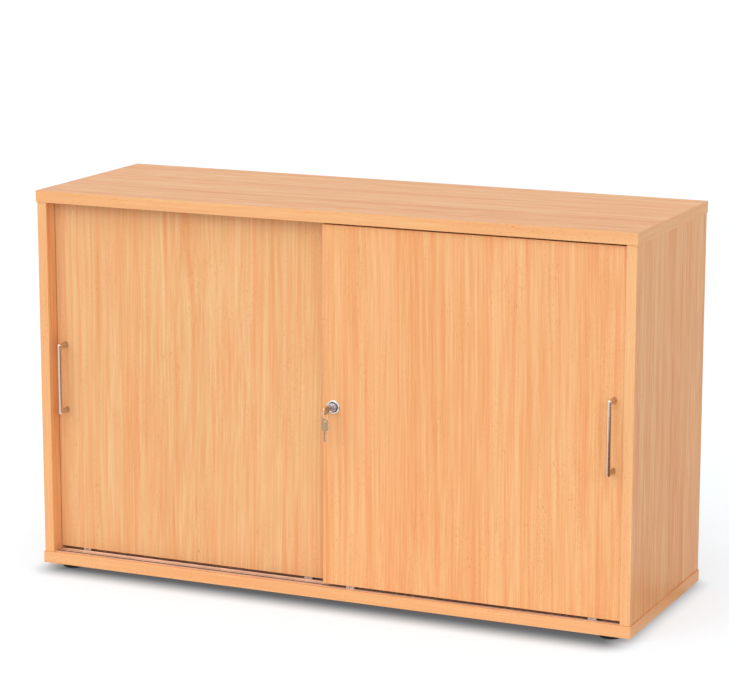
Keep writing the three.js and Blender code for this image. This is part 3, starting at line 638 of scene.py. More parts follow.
@cached
def fitting_material(finish):
    """A metal or plastic with mottled colour and fine lines."""
    source, metallic, roughness_range, axis, (line_width, line_run), patch, relief = FINISHES[finish]
    tint = getattr(bpy.context.scene.cabinet_metal, source)
    material, maker, shader = new_material(finish)
    values = {
        "Position": grain_position(maker, axis), "Line Width": line_width, "Line Run": line_run,
        "Patch": patch,
    }
    wear = maker.add("ShaderNodeGroup", values, node_tree=wear_group()).outputs
    dull = opaque(DULL_SHARE * value for value in tint)
    bump = maker.add("ShaderNodeBump", {"Strength": WEAR_BUMP, "Distance": relief, "Height": wear["Lines"]})
    maker.feed(shader, {
        "Base Color": maker.mix(maker.remap(wear["Mottle"], *MOTTLE_RANGE), opaque(tint), dull),
        "Metallic": metallic,
        "Roughness": maker.remap(wear["Lines"], *LINE_RANGE, *roughness_range),
        "Normal": bump.outputs[0],
    })
    return material


# Meshes

# Edges sharper than these angles, in degrees, stay crisp on a smoothly shaded piece
FITTING_CREASE = 30  # screws, pins, carriers and the strike
CUT_CREASE = 35  # boards, the lock and the keys
TURNED_CREASE = 40  # wheels, guides, feet and the tracks

# Sides of round pieces
ROUND_SIDES = 48  # guides, inserts, the handles' bars and the cutters of round holes
PLUG_SIDES = 64
WHEEL_SIDES = 72
WIDE_SIDES = 96  # the feet, and the lock's rosette and knob

STRAIGHT = math.radians(5)  # corners turned less than this aren't rounded
CORNER_SHARE = 0.45  # the most of a side that the rounding of one corner takes


def new_object(name, data):
    """An object in the scene for a mesh, a lamp or a camera."""
    piece = bpy.data.objects.new(name, data)
    bpy.context.scene.collection.objects.link(piece)
    return piece


def object_from(name, bm):
    """Turns a bmesh into an object and frees it."""
    mesh = bpy.data.meshes.new(name)
    bm.to_mesh(mesh)
    bm.free()
    return new_object(name, mesh)


def evaluated_mesh(piece):
    """A plain mesh of a piece as its modifiers leave it."""
    graph = bpy.context.evaluated_depsgraph_get()
    return bpy.data.meshes.new_from_object(piece.evaluated_get(graph))


def node_copy(node):
    """A CAD node's mesh with its loose triangles merged into flat faces."""
    bm = bmesh.new()
    bm.from_mesh(frame["nodes"][node].data)
    bmesh.ops.remove_doubles(bm, verts=bm.verts, dist=MERGE_DISTANCE)
    bmesh.ops.dissolve_limit(bm, angle_limit=FLAT_ANGLE, verts=bm.verts, edges=bm.edges)
    return bm


def node_centre(node):
    """The middle of a CAD node's box."""
    low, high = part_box(node)
    return (low + high) / 2


def node_foot(node):
    """The middle of the underside of a CAD node's box."""
    centre = node_centre(node)
    return Vector((centre.x, centre.y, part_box(node)[0].z))


def joint_place(name):
    """A joint's point in the model's frame."""
    return Vector(next(joint["pos_m"] for joint in frame["joints"] if joint["name"] == name))


def smooth(piece, crease):
    """Smooth shading that breaks at edges sharper than the crease, with flat faces kept flat."""
    mesh = piece.data
    mesh.polygons.foreach_set("use_smooth", [True] * len(mesh.polygons))
    mesh.set_sharp_from_angle(angle=math.radians(crease))
    weighted = piece.modifiers.new("Weighted normals", "WEIGHTED_NORMAL")
    weighted.keep_sharp = True


def paint(piece, *finishes):
    """Gives a piece finishes in place of those that it has."""
    piece.data.materials.clear()
    for finish in finishes:
        piece.data.materials.append(fitting_material(finish))


def hand_over(piece, body, *nodes):
    """Puts a finished piece on its body, in place of CAD nodes."""
    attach(piece, body)
    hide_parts(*nodes)


def bevelled(bm, edges, width, segments=2):
    """Rounds edges of a bmesh."""
    bmesh.ops.bevel(
        bm, geom=edges, offset=width, offset_type="OFFSET", segments=segments, profile=0.5,
        affect="EDGES", clamp_overlap=True,
    )


def block(size, centre):
    """A bmesh of a box."""
    bm = bmesh.new()
    bmesh.ops.create_cube(bm, size=1.0)
    bm.transform(Matrix.Translation(centre) @ Matrix.Diagonal((*size, 1.0)))
    return bm


def cut_by(piece, cutters):
    """Cuts the cutters' shapes out of a piece and removes them."""
    for cutter in cutters:
        modifier = piece.modifiers.new("Cut", "BOOLEAN")
        modifier.operation = "DIFFERENCE"
        modifier.solver = "EXACT"
        modifier.object = cutter
    mesh = evaluated_mesh(piece)
    piece.modifiers.clear()
    piece.data = mesh
    for cutter in cutters:
        bpy.data.objects.remove(cutter)


def arc(centre, radius, start, turn, steps=8):
    """Points on an arc about the centre, from the start angle through the turn, in radians."""
    return [
        (centre[0] + radius * math.cos(start + turn * i / steps),
         centre[1] + radius * math.sin(start + turn * i / steps))
        for i in range(steps + 1)
    ]


def rounded(outline, radius, steps=4):
    """An open outline with an arc in place of each inner corner."""
    points = [Vector(point) for point in outline]
    result = [points[0]]
    for before, corner, after in zip(points, points[1:], points[2:]):
        arriving = (corner - before).normalized()
        leaving = (after - corner).normalized()
        turn = arriving.angle_signed(leaving)
        if abs(turn) < STRAIGHT:
            result.append(corner)
            continue
        half = math.tan(abs(turn) / 2)
        sides = ((corner - before).length, (after - corner).length)
        reach = min(radius * half, *(CORNER_SHARE * side for side in sides))
        inwards = Vector((-arriving.y, arriving.x)) * (-1 if turn > 0 else 1)
        start = corner - arriving * reach
        centre = start + inwards * (reach / half)
        for step in range(steps + 1):
            spoke = start - centre
            spoke.rotate(Matrix.Rotation(-turn * step / steps, 2))
            result.append(centre + spoke)
    result.append(points[-1])
    return [tuple(point) for point in result]


def mirrored(half):
    """An outline from its lower half, turned over its middle height at 0."""
    return half + [(radius, -height) for radius, height in reversed(half)]


def skin(bm, rings, sides):
    """Faces between each ring of vertices and the next. A ring of one vertex makes a tip."""
    for low, high in zip(rings, rings[1:]):
        for i in range(sides):
            j = (i + 1) % sides
            corners = [low[i % len(low)], low[j % len(low)], high[j % len(high)], high[i % len(high)]]
            bm.faces.new(dict.fromkeys(corners))


def turned(name, outline, axis, centre, sides=ROUND_SIDES):
    """A piece turned about an axis through the centre, from (radius, height) points up its outside.

    An outline that ends where it starts makes a piece with a bore.
    """
    bm = bmesh.new()
    closed = (Vector(outline[0]) - Vector(outline[-1])).length < TINY
    rings = []
    for radius, height in outline[:-1] if closed else outline:
        if radius < TINY:
            rings.append([bm.verts.new((0.0, 0.0, height))])
            continue
        angles = [2 * math.pi * i / sides for i in range(sides)]
        rings.append([bm.verts.new((radius * math.cos(a), radius * math.sin(a), height)) for a in angles])
    skin(bm, rings + rings[:1] if closed else rings, sides)
    bmesh.ops.recalc_face_normals(bm, faces=bm.faces)
    bm.transform(Matrix.Translation(centre) @ TURN_TO_AXIS[axis])
    return object_from(name, bm)


def finish_turned(piece, body, node, finish, crease=TURNED_CREASE):
    """Shades, paints and hands over a turned piece of one finish."""
    smooth(piece, crease)
    paint(piece, finish)
    hand_over(piece, body, node)


# Geometry Nodes

def nodes_tree(name, *sizes):
    """A geometry tree with an input for each size, a whole number where it is a count, and a material."""
    inputs = sockets("Geometry", "Geometry")
    for size in sizes:
        inputs |= sockets("Int" if size == "Count" else "Float", size)
    inputs |= sockets("Material", "Material")
    tree, start, end = new_group("GeometryNodeTree", name, inputs, sockets("Geometry", "Geometry"))
    return tree, NodeMaker(tree), start.outputs, end


def end_tree(maker, geometry, start, end):
    """Ends a tree: real geometry with its material."""
    real = maker.add("GeometryNodeRealizeInstances", {0: geometry})
    painted = maker.add("GeometryNodeSetMaterial", {
        "Geometry": real.outputs[0], "Material": start["Material"],
    })
    maker.feed(end, {0: painted.outputs[0]})


def grown(name, base, tree, values, finish):
    """Runs a geometry tree on a base mesh and keeps its result as a plain mesh."""
    source = new_object(f"{name}_source", base)
    modifier = source.modifiers.new("Build", "NODES")
    modifier.node_group = tree
    values = {**values, "Material": fitting_material(finish)}
    for item in tree.interface.items_tree:
        if item.item_type == "SOCKET" and item.in_out == "INPUT" and item.name in values:
            modifier[item.identifier] = values[item.name]
    mesh = evaluated_mesh(source)
    mesh.name = name
    for index in reversed(range(len(mesh.materials))):
        if mesh.materials[index] is None:
            mesh.materials.pop(index=index)
    bpy.data.objects.remove(source)
    return new_object(name, mesh)


def point_mesh(name, places):
    """A mesh of loose points, each with the direction that its fitting faces."""
    mesh = bpy.data.meshes.new(name)
    mesh.from_pydata([place for place, _ in places], [], [])
    axis = mesh.attributes.new("facing", "FLOAT_VECTOR", "POINT")
    axis.data.foreach_set("vector", [value for _, facing in places for value in facing])
    return mesh


HEAD_SIDES = 32
SHANK_SIDES = 24
WIRE_SIDES = 12
RIB_SIDES = 10
TURN_STEPS = 40  # points along one turn of a wire
CORNER_STEPS = 3  # points on a rounded corner of a drawn section
SLOT_SPAN = 1.5  # length of a screw's slots, in radii of its crown


@cached
def headed_fitting_tree():
    """A headed shank on each point, its head towards the point's facing, with crossed slots if deep."""
    tree, maker, start, end = nodes_tree(
        "Headed fittings", "Head Radius", "Rim Height", "Crown Radius", "Head Length", "Shank Radius",
        "Shank Length", "Slot Width", "Slot Depth",
    )

    def lifted(node, height):
        """A node's mesh, moved up."""
        return maker.moved(node.outputs[0], maker.combine(z=height))

    rim = maker.add("GeometryNodeMeshCylinder", {
        "Vertices": HEAD_SIDES, "Radius": start["Head Radius"], "Depth": start["Rim Height"],
    })
    crown = maker.add("GeometryNodeMeshCone", {
        "Vertices": HEAD_SIDES, "Radius Top": start["Crown Radius"], "Radius Bottom": start["Head Radius"],
        "Depth": maker.math("SUBTRACT", start["Head Length"], start["Rim Height"]),
    })
    shank = maker.add("GeometryNodeMeshCylinder", {
        "Vertices": SHANK_SIDES, "Radius": start["Shank Radius"], "Depth": start["Shank Length"],
    })
    standing_rim = lifted(rim, maker.math("MULTIPLY", start["Rim Height"], 0.5))
    standing_crown = lifted(crown, start["Rim Height"])
    hanging_shank = lifted(shank, maker.math("MULTIPLY", start["Shank Length"], -0.5))

    reach = maker.math("MULTIPLY", start["Crown Radius"], SLOT_SPAN)
    deep = maker.math("MULTIPLY", start["Slot Depth"], 2.0)
    bars = []
    for sides in ((reach, start["Slot Width"]), (start["Slot Width"], reach)):
        bar = maker.add("GeometryNodeMeshCube", {"Size": maker.combine(*sides, deep)})
        bars.append(lifted(bar, start["Head Length"]))
    slotted = maker.gather(
        "GeometryNodeMeshBoolean", "Mesh 2", bars, {"Mesh 1": standing_crown},
        operation="DIFFERENCE", solver="EXACT",
    )
    has_slots = maker.math("GREATER_THAN", start["Slot Depth"], TINY)
    top = maker.add(
        "GeometryNodeSwitch", {"Switch": has_slots, "False": standing_crown, "True": slotted},
        input_type="GEOMETRY",
    )
    whole = maker.gather(
        "GeometryNodeMeshBoolean", "Mesh 2", (top.outputs[0], standing_rim, hanging_shank),
        operation="UNION", solver="EXACT",
    )
    facing = maker.add("GeometryNodeInputNamedAttribute", {"Name": "facing"}, data_type="FLOAT_VECTOR")
    turn = maker.add("FunctionNodeAlignRotationToVector", {"Vector": facing.outputs[0]}, axis="Z")
    placed = maker.add("GeometryNodeInstanceOnPoints", {
        "Points": start["Geometry"], "Instance": whole, "Rotation": turn.outputs[0],
    })
    end_tree(maker, placed.outputs[0], start, end)
    return tree


@cached
def coil_tree():
    """A wire wound on a cylinder about Z, from 0 up to the height."""
    tree, maker, start, end = nodes_tree("Wound wire", "Coil Radius", "Height", "Turns", "Wire Radius")
    spiral = maker.add("GeometryNodeCurveSpiral", {
        "Resolution": TURN_STEPS, "Rotations": start["Turns"], "Start Radius": start["Coil Radius"],
        "End Radius": start["Coil Radius"], "Height": start["Height"],
    })
    section = maker.add("GeometryNodeCurvePrimitiveCircle", {
        "Resolution": WIRE_SIDES, "Radius": start["Wire Radius"],
    })
    wire = maker.add("GeometryNodeCurveToMesh", {
        "Curve": spiral.outputs[0], "Profile Curve": section.outputs[0], "Fill Caps": True,
    })
    shaded = maker.add("GeometryNodeSetShadeSmooth", {"Geometry": wire.outputs[0]})
    end_tree(maker, shaded.outputs[0], start, end)
    return tree


def wound_wire(name, radius, height, turns, wire):
    """A steel wire wound about Z, its middle line from 0 up to the height."""
    values = {"Coil Radius": radius, "Height": height, "Turns": turns, "Wire Radius": wire / 2}
    return grown(name, bpy.data.meshes.new(f"{name}_seed"), coil_tree(), values, "steel")


@cached
def extrusion_tree():
    """A drawn outline with rounded corners, filled and drawn out along X."""
    tree, maker, start, end = nodes_tree("Drawn section", "Corner Radius", "Length")
    outline = maker.add("GeometryNodeMeshToCurve", {"Mesh": start["Geometry"]})
    corners = {
        "Curve": outline.outputs[0], "Count": CORNER_STEPS, "Radius": start["Corner Radius"],
        "Limit Radius": True,
    }
    eased = maker.add("GeometryNodeFilletCurve", corners, mode="POLY")
    filled = maker.add("GeometryNodeFillCurve", {"Curve": eased.outputs[0]}, mode="NGONS")
    drawn = maker.add("GeometryNodeExtrudeMesh", {
        "Mesh": filled.outputs[0], "Offset": maker.combine(z=start["Length"]), "Offset Scale": 1.0,
        "Individual": False,
    })
    first_end = maker.add("GeometryNodeFlipFaces", {"Mesh": filled.outputs[0]})
    whole = maker.gather("GeometryNodeJoinGeometry", 0, (drawn.outputs[0], first_end.outputs[0]))
    sealed = maker.add("GeometryNodeMergeByDistance", {"Geometry": whole, "Distance": TINY})
    back = maker.combine(x=maker.math("MULTIPLY", start["Length"], -0.5))
    laid = maker.moved(sealed.outputs[0], back, (math.radians(90), 0.0, math.radians(90)))
    end_tree(maker, laid, start, end)
    return tree


@cached
def ribbed_tree():
    """Upright grip ribs in a circle about the origin, joined to the piece that is passed in."""
    tree, maker, start, end = nodes_tree(
        "Grip ribs", "Count", "Rim Radius", "Rib Radius", "Rib Height", "Rib Place"
    )
    circle = maker.add("GeometryNodeMeshCircle", {
        "Vertices": start["Count"], "Radius": start["Rim Radius"],
    })
    rib = maker.add("GeometryNodeMeshCylinder", {
        "Vertices": RIB_SIDES, "Radius": start["Rib Radius"], "Depth": start["Rib Height"],
    })
    raised = maker.moved(circle.outputs[0], maker.combine(z=start["Rib Place"]))
    ribs = maker.add("GeometryNodeInstanceOnPoints", {"Points": raised, "Instance": rib.outputs[0]})
    whole = maker.gather("GeometryNodeJoinGeometry", 0, (start["Geometry"], ribs.outputs[0]))
    end_tree(maker, whole, start, end)
    return tree


# Boards: node, body, axis across the board, axis of the grain and which board it is cut from
BOARDS = [
    ("top_panel", "carcass", "Z", "X", "carcass"),
    ("base_panel", "carcass", "Z", "X", "carcass"),
    ("left_side_panel", "carcass", "X", "Z", "carcass"),
    ("right_side_panel", "carcass", "X", "Z", "carcass"),
    ("centre_partition", "carcass", "X", "Z", "carcass"),
    ("back_panel", "carcass", "Y", "Z", "back"),
    ("left_shelf", "carcass", "Z", "X", "carcass"),
    ("right_shelf", "carcass", "Z", "X", "carcass"),
    ("rear_door_panel", "rear_door", "Y", "Z", "rear door"),
    ("front_door_panel", "front_door", "Y", "Z", "front door"),
]
DOORS = ("rear_door", "front_door")


def outer_edges(bm, low, high):
    """The edges that lie on two sides of the board's box."""
    def sides(vert):
        return {
            (i, end) for i in range(3) for end, plane in enumerate((low, high))
            if abs(vert.co[i] - plane[i]) < MERGE_DISTANCE
        }
    return [edge for edge in bm.edges if len(sides(edge.verts[0]) & sides(edge.verts[1])) == 2]


def make_board(node, body, thin, grain, board):
    """A board with eased edges, its grain along its length and its edge bands' grain along the edges."""
    settings = bpy.context.scene.cabinet_boards
    bm = node_copy(node)
    bevelled(bm, outer_edges(bm, *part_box(node)), settings.edge_radius, settings.edge_segments)
    across = next(axis for axis in "XYZ" if axis not in (thin, grain))
    order = [thin, across, grain]
    for face in bm.faces:
        steepest = max("XYZ", key=lambda axis: abs(face.normal["XYZ".index(axis)]))
        face.material_index = order.index(steepest)
    piece = object_from(f"{node}_finished", bm)
    for source, axis in ((board, grain), ("edge", grain), ("edge", across)):
        piece.data.materials.append(beech_material(source, axis))
    smooth(piece, CUT_CREASE)
    hand_over(piece, body, node)


class CABINET_OT_boards(bpy.types.Operator):
    """Makes the boards of the carcass and the doors, with eased edges and beech grain"""

    bl_idname = "cabinet.boards"
    bl_label = "Boards and doors"

    def execute(self, context):
        for row in BOARDS:
            make_board(*row)
        return {"FINISHED"}


class CABINET_OT_tracks(bpy.types.Operator):
    """Makes the two aluminium tracks as drawn sections with eased corners"""

    bl_idname = "cabinet.tracks"
    bl_label = "Tracks"

    def execute(self, context):
        sizes = context.scene.cabinet_tracks
        for node, opens in (("bottom_track", 1), ("top_track", -1)):
            low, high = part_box(node)
            outline = self.outline(low, high, opens, sizes)
            base = bpy.data.meshes.new(f"{node}_outline")
            corners = len(outline)
            base.from_pydata(outline, [(i, (i + 1) % corners) for i in range(corners)], [])
            values = {"Corner Radius": sizes.corner, "Length": high.x - low.x}
            piece = grown(f"{node}_drawn", base, extrusion_tree(), values, "aluminium")
            self.paint_channel_shade(piece, low.y, high.y, sizes)
            smooth(piece, TURNED_CREASE)
            hand_over(piece, "carcass", node)
        return {"FINISHED"}

    def outline(self, low, high, opens, sizes):
        """A twin track's section on the YZ plane, with its channels open up (1) or down (-1)."""
        wall, drop = sizes.wall, sizes.web_drop
        front, back = low.y, high.y
        web_front = front + sizes.channel_width + 2 * wall
        web_back = back - (sizes.channel_width + 2 * wall)
        depth = high.z - low.z
        floor = -depth + wall
        front_lip = [(front + wall, 0), (front, 0)]
        if opens > 0:
            rise, edge = sizes.flange_rise, front - sizes.flange
            front_lip = [(front + wall, rise), (edge, rise), (edge, 0), (front, 0)]
        outline = [
            (front, -depth), (web_front, -depth), (web_front, -drop - wall), (web_back, -drop - wall),
            (web_back, -depth), (back, -depth), (back, 0), (back - wall, 0), (back - wall, floor),
            (web_back + wall, floor), (web_back + wall, 0), (web_back, 0), (web_back, -drop),
            (web_front, -drop), (web_front, 0), (web_front - wall, 0), (web_front - wall, floor),
            (front + wall, floor), *front_lip,
        ]
        lip = high.z if opens > 0 else low.z
        return [(y, lip + opens * z, 0.0) for y, z in outline]

    def paint_channel_shade(self, piece, front, back, sizes):
        """Paints the insides of both channels with a dark colour as painted shade."""
        piece.data.materials.append(fitting_material("channel"))
        starts = (front + sizes.wall, back - sizes.wall - sizes.channel_width)
        for face in piece.data.polygons:
            inside = any(-TINY < face.center.y - start < sizes.channel_width + TINY for start in starts)
            if inside and abs(face.normal.x) < FLAT_SIDE:
                face.material_index = len(piece.data.materials) - 1


LEG_STEPS = 10
LEG_SIDES = 32
BLEND_FACTOR = 0.5  # strength of each pass that blends the bar and the legs
BLEND_PASSES = 12


def handle_leg(sizes, bar_y, z):
    """A mesh of a leg that flares towards the door."""
    bm = bmesh.new()
    rings = []
    for step in range(LEG_STEPS + 1):
        t = step / LEG_STEPS
        height = (sizes.leg_neck + (sizes.leg_foot - sizes.leg_neck) * (t * t)) / 2
        width = height * sizes.leg_width / sizes.leg_foot
        y = bar_y * (1 - t)
        angles = [2 * math.pi * i / LEG_SIDES for i in range(LEG_SIDES)]
        rings.append([bm.verts.new((width * math.cos(a), y, z + height * math.sin(a))) for a in angles])
    skin(bm, rings, LEG_SIDES)
    bm.faces.new(rings[0])
    bm.faces.new(rings[-1])
    bmesh.ops.recalc_face_normals(bm, faces=bm.faces)
    mesh = bpy.data.meshes.new("leg")
    bm.to_mesh(mesh)
    bm.free()
    return mesh


def cast_handle(node):
    """One casting: a round bar with round ends, blended into two flared legs."""
    sizes = bpy.context.scene.cabinet_handles
    low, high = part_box(node)
    centre = node_centre(node)
    radius = sizes.bar_radius
    bar_y = low.y + radius - high.y
    half = (high.z - low.z) / 2
    outline = mirrored(arc((0, radius - half), radius, -math.pi / 2, math.pi / 2))
    bar = turned(f"{node}_cast", outline, "Z", Vector((0.0, bar_y, 0.0)))
    bm = bmesh.new()
    bm.from_mesh(bar.data)
    for side in (-1, 1):
        leg = handle_leg(sizes, bar_y, side * sizes.pitch / 2)
        bm.from_mesh(leg)
        bpy.data.meshes.remove(leg)
    bm.transform(Matrix.Translation((centre.x, high.y, centre.z)))
    bm.to_mesh(bar.data)
    bm.free()
    for kind, settings in (
        ("REMESH", {"mode": "VOXEL", "voxel_size": sizes.cast_detail, "use_smooth_shade": True}),
        ("SMOOTH", {"factor": BLEND_FACTOR, "iterations": BLEND_PASSES}),
    ):
        modifier = bar.modifiers.new(kind.title(), kind)
        for key, value in settings.items():
            setattr(modifier, key, value)
    mesh = evaluated_mesh(bar)
    bar.modifiers.clear()
    bar.data = mesh
    # the faces behind the bar, on the legs, take the darker nickel that paints in their shade
    paint(bar, "satin nickel", "cast nickel")
    for face in mesh.polygons:
        face.material_index = 1 if face.center.y > low.y + 2 * radius else 0
    return bar


class CABINET_OT_handles(bpy.types.Operator):
    """Makes the two cast bow handles"""

    bl_idname = "cabinet.handles"
    bl_label = "Handles"

    def execute(self, context):
        for body in DOORS:
            node = f"{body}_handle"
            hand_over(cast_handle(node), body, node)
        return {"FINISHED"}


# Shares of a screw head's radius
HANDLE_SCREW_CROWN = 0.62
STRIKE_SCREW_CROWN = 0.7
STRIKE_SCREW_SHANK = 0.53
STRIKE_SCREW_HEAD = 0.5
STRIKE_SCREW_RIM = 0.25

STRIKE_SLOT = 0.8  # a strike screw's slots beside a handle screw's
PIN_RIM = 0.9  # the straight part of a shelf pin's head


class CABINET_OT_small_fittings(bpy.types.Operator):
    """Makes the handles' and the strike's screws and the shelf pins"""

    bl_idname = "cabinet.small_fittings"
    bl_label = "Screws and shelf pins"

    def execute(self, context):
        for body in DOORS:
            self.make_handle_screws(body, context.scene.cabinet_handles)
        self.make_strike_screws(context.scene.cabinet_handles)
        self.make_shelf_pins(context.scene.cabinet_shelf_pins)
        return {"FINISHED"}

    def set_fittings(self, name, places, values, body, nodes):
        """Headed fittings on the places, as one mesh of the body."""
        piece = grown(name, point_mesh(f"{name}_points", places), headed_fitting_tree(), values, "steel")
        smooth(piece, FITTING_CREASE)
        hand_over(piece, body, *nodes)

    def make_handle_screws(self, body, sizes):
        """A handle's two screws, their heads on the back of the door."""
        nodes = [f"{body}_handle_screw_lower", f"{body}_handle_screw_upper"]
        low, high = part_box(nodes[0])
        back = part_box(f"{body}_panel")[1].y
        head = (high.x - low.x) / 2
        places = [((node_centre(node).x, back, node_centre(node).z), (0, 1, 0)) for node in nodes]
        values = {
            "Head Radius": head, "Rim Height": (high.y - back) / 2, "Head Length": high.y - back,
            "Crown Radius": HANDLE_SCREW_CROWN * head, "Shank Radius": sizes.screw_radius,
            "Shank Length": back - low.y, "Slot Width": sizes.slot_width, "Slot Depth": sizes.slot_depth,
        }
        self.set_fittings(f"{body}_handle_screws", places, values, body, nodes)

    def make_strike_screws(self, sizes):
        """The two screws that hold the strike block, their heads to the front."""
        nodes = ["strike_screw_lower", "strike_screw_upper"]
        low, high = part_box(nodes[0])
        head = (high.x - low.x) / 2
        face = low.y + STRIKE_SCREW_HEAD * head
        places = [((node_centre(node).x, face, node_centre(node).z), (0, -1, 0)) for node in nodes]
        values = {
            "Head Radius": head, "Rim Height": STRIKE_SCREW_RIM * head,
            "Head Length": STRIKE_SCREW_HEAD * head, "Crown Radius": STRIKE_SCREW_CROWN * head,
            "Shank Radius": STRIKE_SCREW_SHANK * head, "Shank Length": high.y - face,
            "Slot Width": STRIKE_SLOT * sizes.slot_width, "Slot Depth": STRIKE_SLOT * sizes.slot_depth,
        }
        self.set_fittings("strike_screws", places, values, "rear_door", nodes)

    def make_shelf_pins(self, sizes):
        """The shelves' pins, each with its shank in the board beside it."""
        nodes = [name for name in frame["nodes"] if "_shelf_pin_" in name]
        places = []
        for node in nodes:
            low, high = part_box(node)
            outwards = 1 if node.startswith("left") == node.endswith("outer") else -1
            x = high.x - sizes.head_length if outwards > 0 else low.x + sizes.head_length
            places.append(((x, node_centre(node).y, node_centre(node).z), (outwards, 0, 0)))
        low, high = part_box(nodes[0])
        values = {
            "Head Radius": sizes.head_radius, "Rim Height": PIN_RIM * sizes.head_length,
            "Crown Radius": sizes.end_radius, "Head Length": sizes.head_length,
            "Shank Radius": sizes.shank_radius, "Shank Length": high.x - low.x - sizes.head_length,
            "Slot Width": 0.0, "Slot Depth": 0.0,
        }
        self.set_fittings("shelf_pins", places, values, "carcass", nodes)


def make_wheel(node, body, sizes):
    """A wheel with a recess in each side, on a steel axle."""
    low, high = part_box(node)
    axle = node_centre(node)
    end = (high.y - low.y) / 2
    tread = (high.z - low.z) / 2
    half = sizes.wheel_width / 2
    floor = half - sizes.recess
    rim = tread - sizes.rim_width
    half_outline = [
        (0, -end), (sizes.axle_radius, -end), (sizes.axle_radius, -half), (sizes.hub_radius, -half),
        (sizes.hub_radius + sizes.recess / 2, -floor), (rim - sizes.recess / 2, -floor), (rim, -half),
        (tread - sizes.edge_radius, -half), (tread, -half + sizes.edge_radius),
    ]
    outline = rounded(mirrored(half_outline), sizes.edge_radius / 3)
    piece = turned(f"{node}_turned", outline, "Y", axle, WHEEL_SIDES)
    # the tread and sides take the plastic darkened as painted shade, the axle steel
    paint(piece, "wheel plastic", "steel")
    for face in piece.data.polygons:
        away = Vector((face.center.x - axle.x, face.center.z - axle.z)).length
        face.material_index = 1 if away < sizes.axle_radius + TINY else 0
    smooth(piece, TURNED_CREASE)
    hand_over(piece, body, node)


def make_carrier(node, body, width):
    """A roller's moulded carrier: its CAD solid with bevelled edges."""
    bm = node_copy(node)
    bevelled(bm, [edge for edge in bm.edges if edge.calc_face_angle(0) > SHARP_ANGLE], width)
    piece = object_from(f"{node}_moulded", bm)
    smooth(piece, FITTING_CREASE)
    paint(piece, "grey plastic")
    hand_over(piece, body, node)


class CABINET_OT_rollers(bpy.types.Operator):
    """Makes the rollers' carriers and wheels"""

    bl_idname = "cabinet.rollers"
    bl_label = "Rollers"

    def execute(self, context):
        sizes = context.scene.cabinet_rollers
        for door in DOORS:
            for side in ("left", "right"):
                make_wheel(f"{door}_{side}_wheel", f"{door}_{side}_roller", sizes)
                make_carrier(f"{door}_{side}_roller_carrier", door, sizes.moulded_edge)
        return {"FINISHED"}


DOME_STEPS = 10


class CABINET_OT_guides(bpy.types.Operator):
    """Makes the sprung guides in the doors' top edges"""

    bl_idname = "cabinet.guides"
    bl_label = "Top guides"

    def execute(self, context):
        sizes = context.scene.cabinet_rollers
        for door in DOORS:
            for side in ("left", "right"):
                self.make_pin(f"{door}_{side}_guide_pin", f"{door}_{side}_guide", sizes)
                self.make_sleeve(f"{door}_{side}_guide_sleeve", door, sizes)
        return {"FINISHED"}

    def make_pin(self, node, body, sizes):
        """A pin with a collar below and a domed top."""
        low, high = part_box(node)
        tall = high.z - low.z
        collar = (high.x - low.x) / 2
        neck, step = sizes.pin_radius, sizes.collar_height
        dome = arc((0, tall - neck), neck, 0, math.pi / 2, DOME_STEPS)
        lower = [(0, 0), (collar, 0), (collar, step), (neck, step), dome[0]]
        outline = rounded(lower, sizes.edge_radius / 2) + dome[1:]
        piece = turned(f"{node}_turned", outline, "Z", node_foot(node))
        finish_turned(piece, body, node, "grey plastic")

    def make_sleeve(self, node, body, sizes):
        """A sleeve with a lip that keeps the pin's collar in."""
        low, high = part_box(node)
        outer = (high.x - low.x) / 2
        tall = high.z - low.z
        lip, edge = tall - sizes.sleeve_lip, sizes.edge_radius
        outline = [
            (sizes.sleeve_bore, 0), (outer, 0), (outer, tall - edge), (outer - edge, tall),
            (sizes.sleeve_mouth, tall), (sizes.sleeve_mouth, lip), (sizes.sleeve_bore, lip),
            (sizes.sleeve_bore, 0),
        ]
        piece = turned(f"{node}_turned", outline, "Z", node_foot(node))
        finish_turned(piece, body, node, "grey plastic")


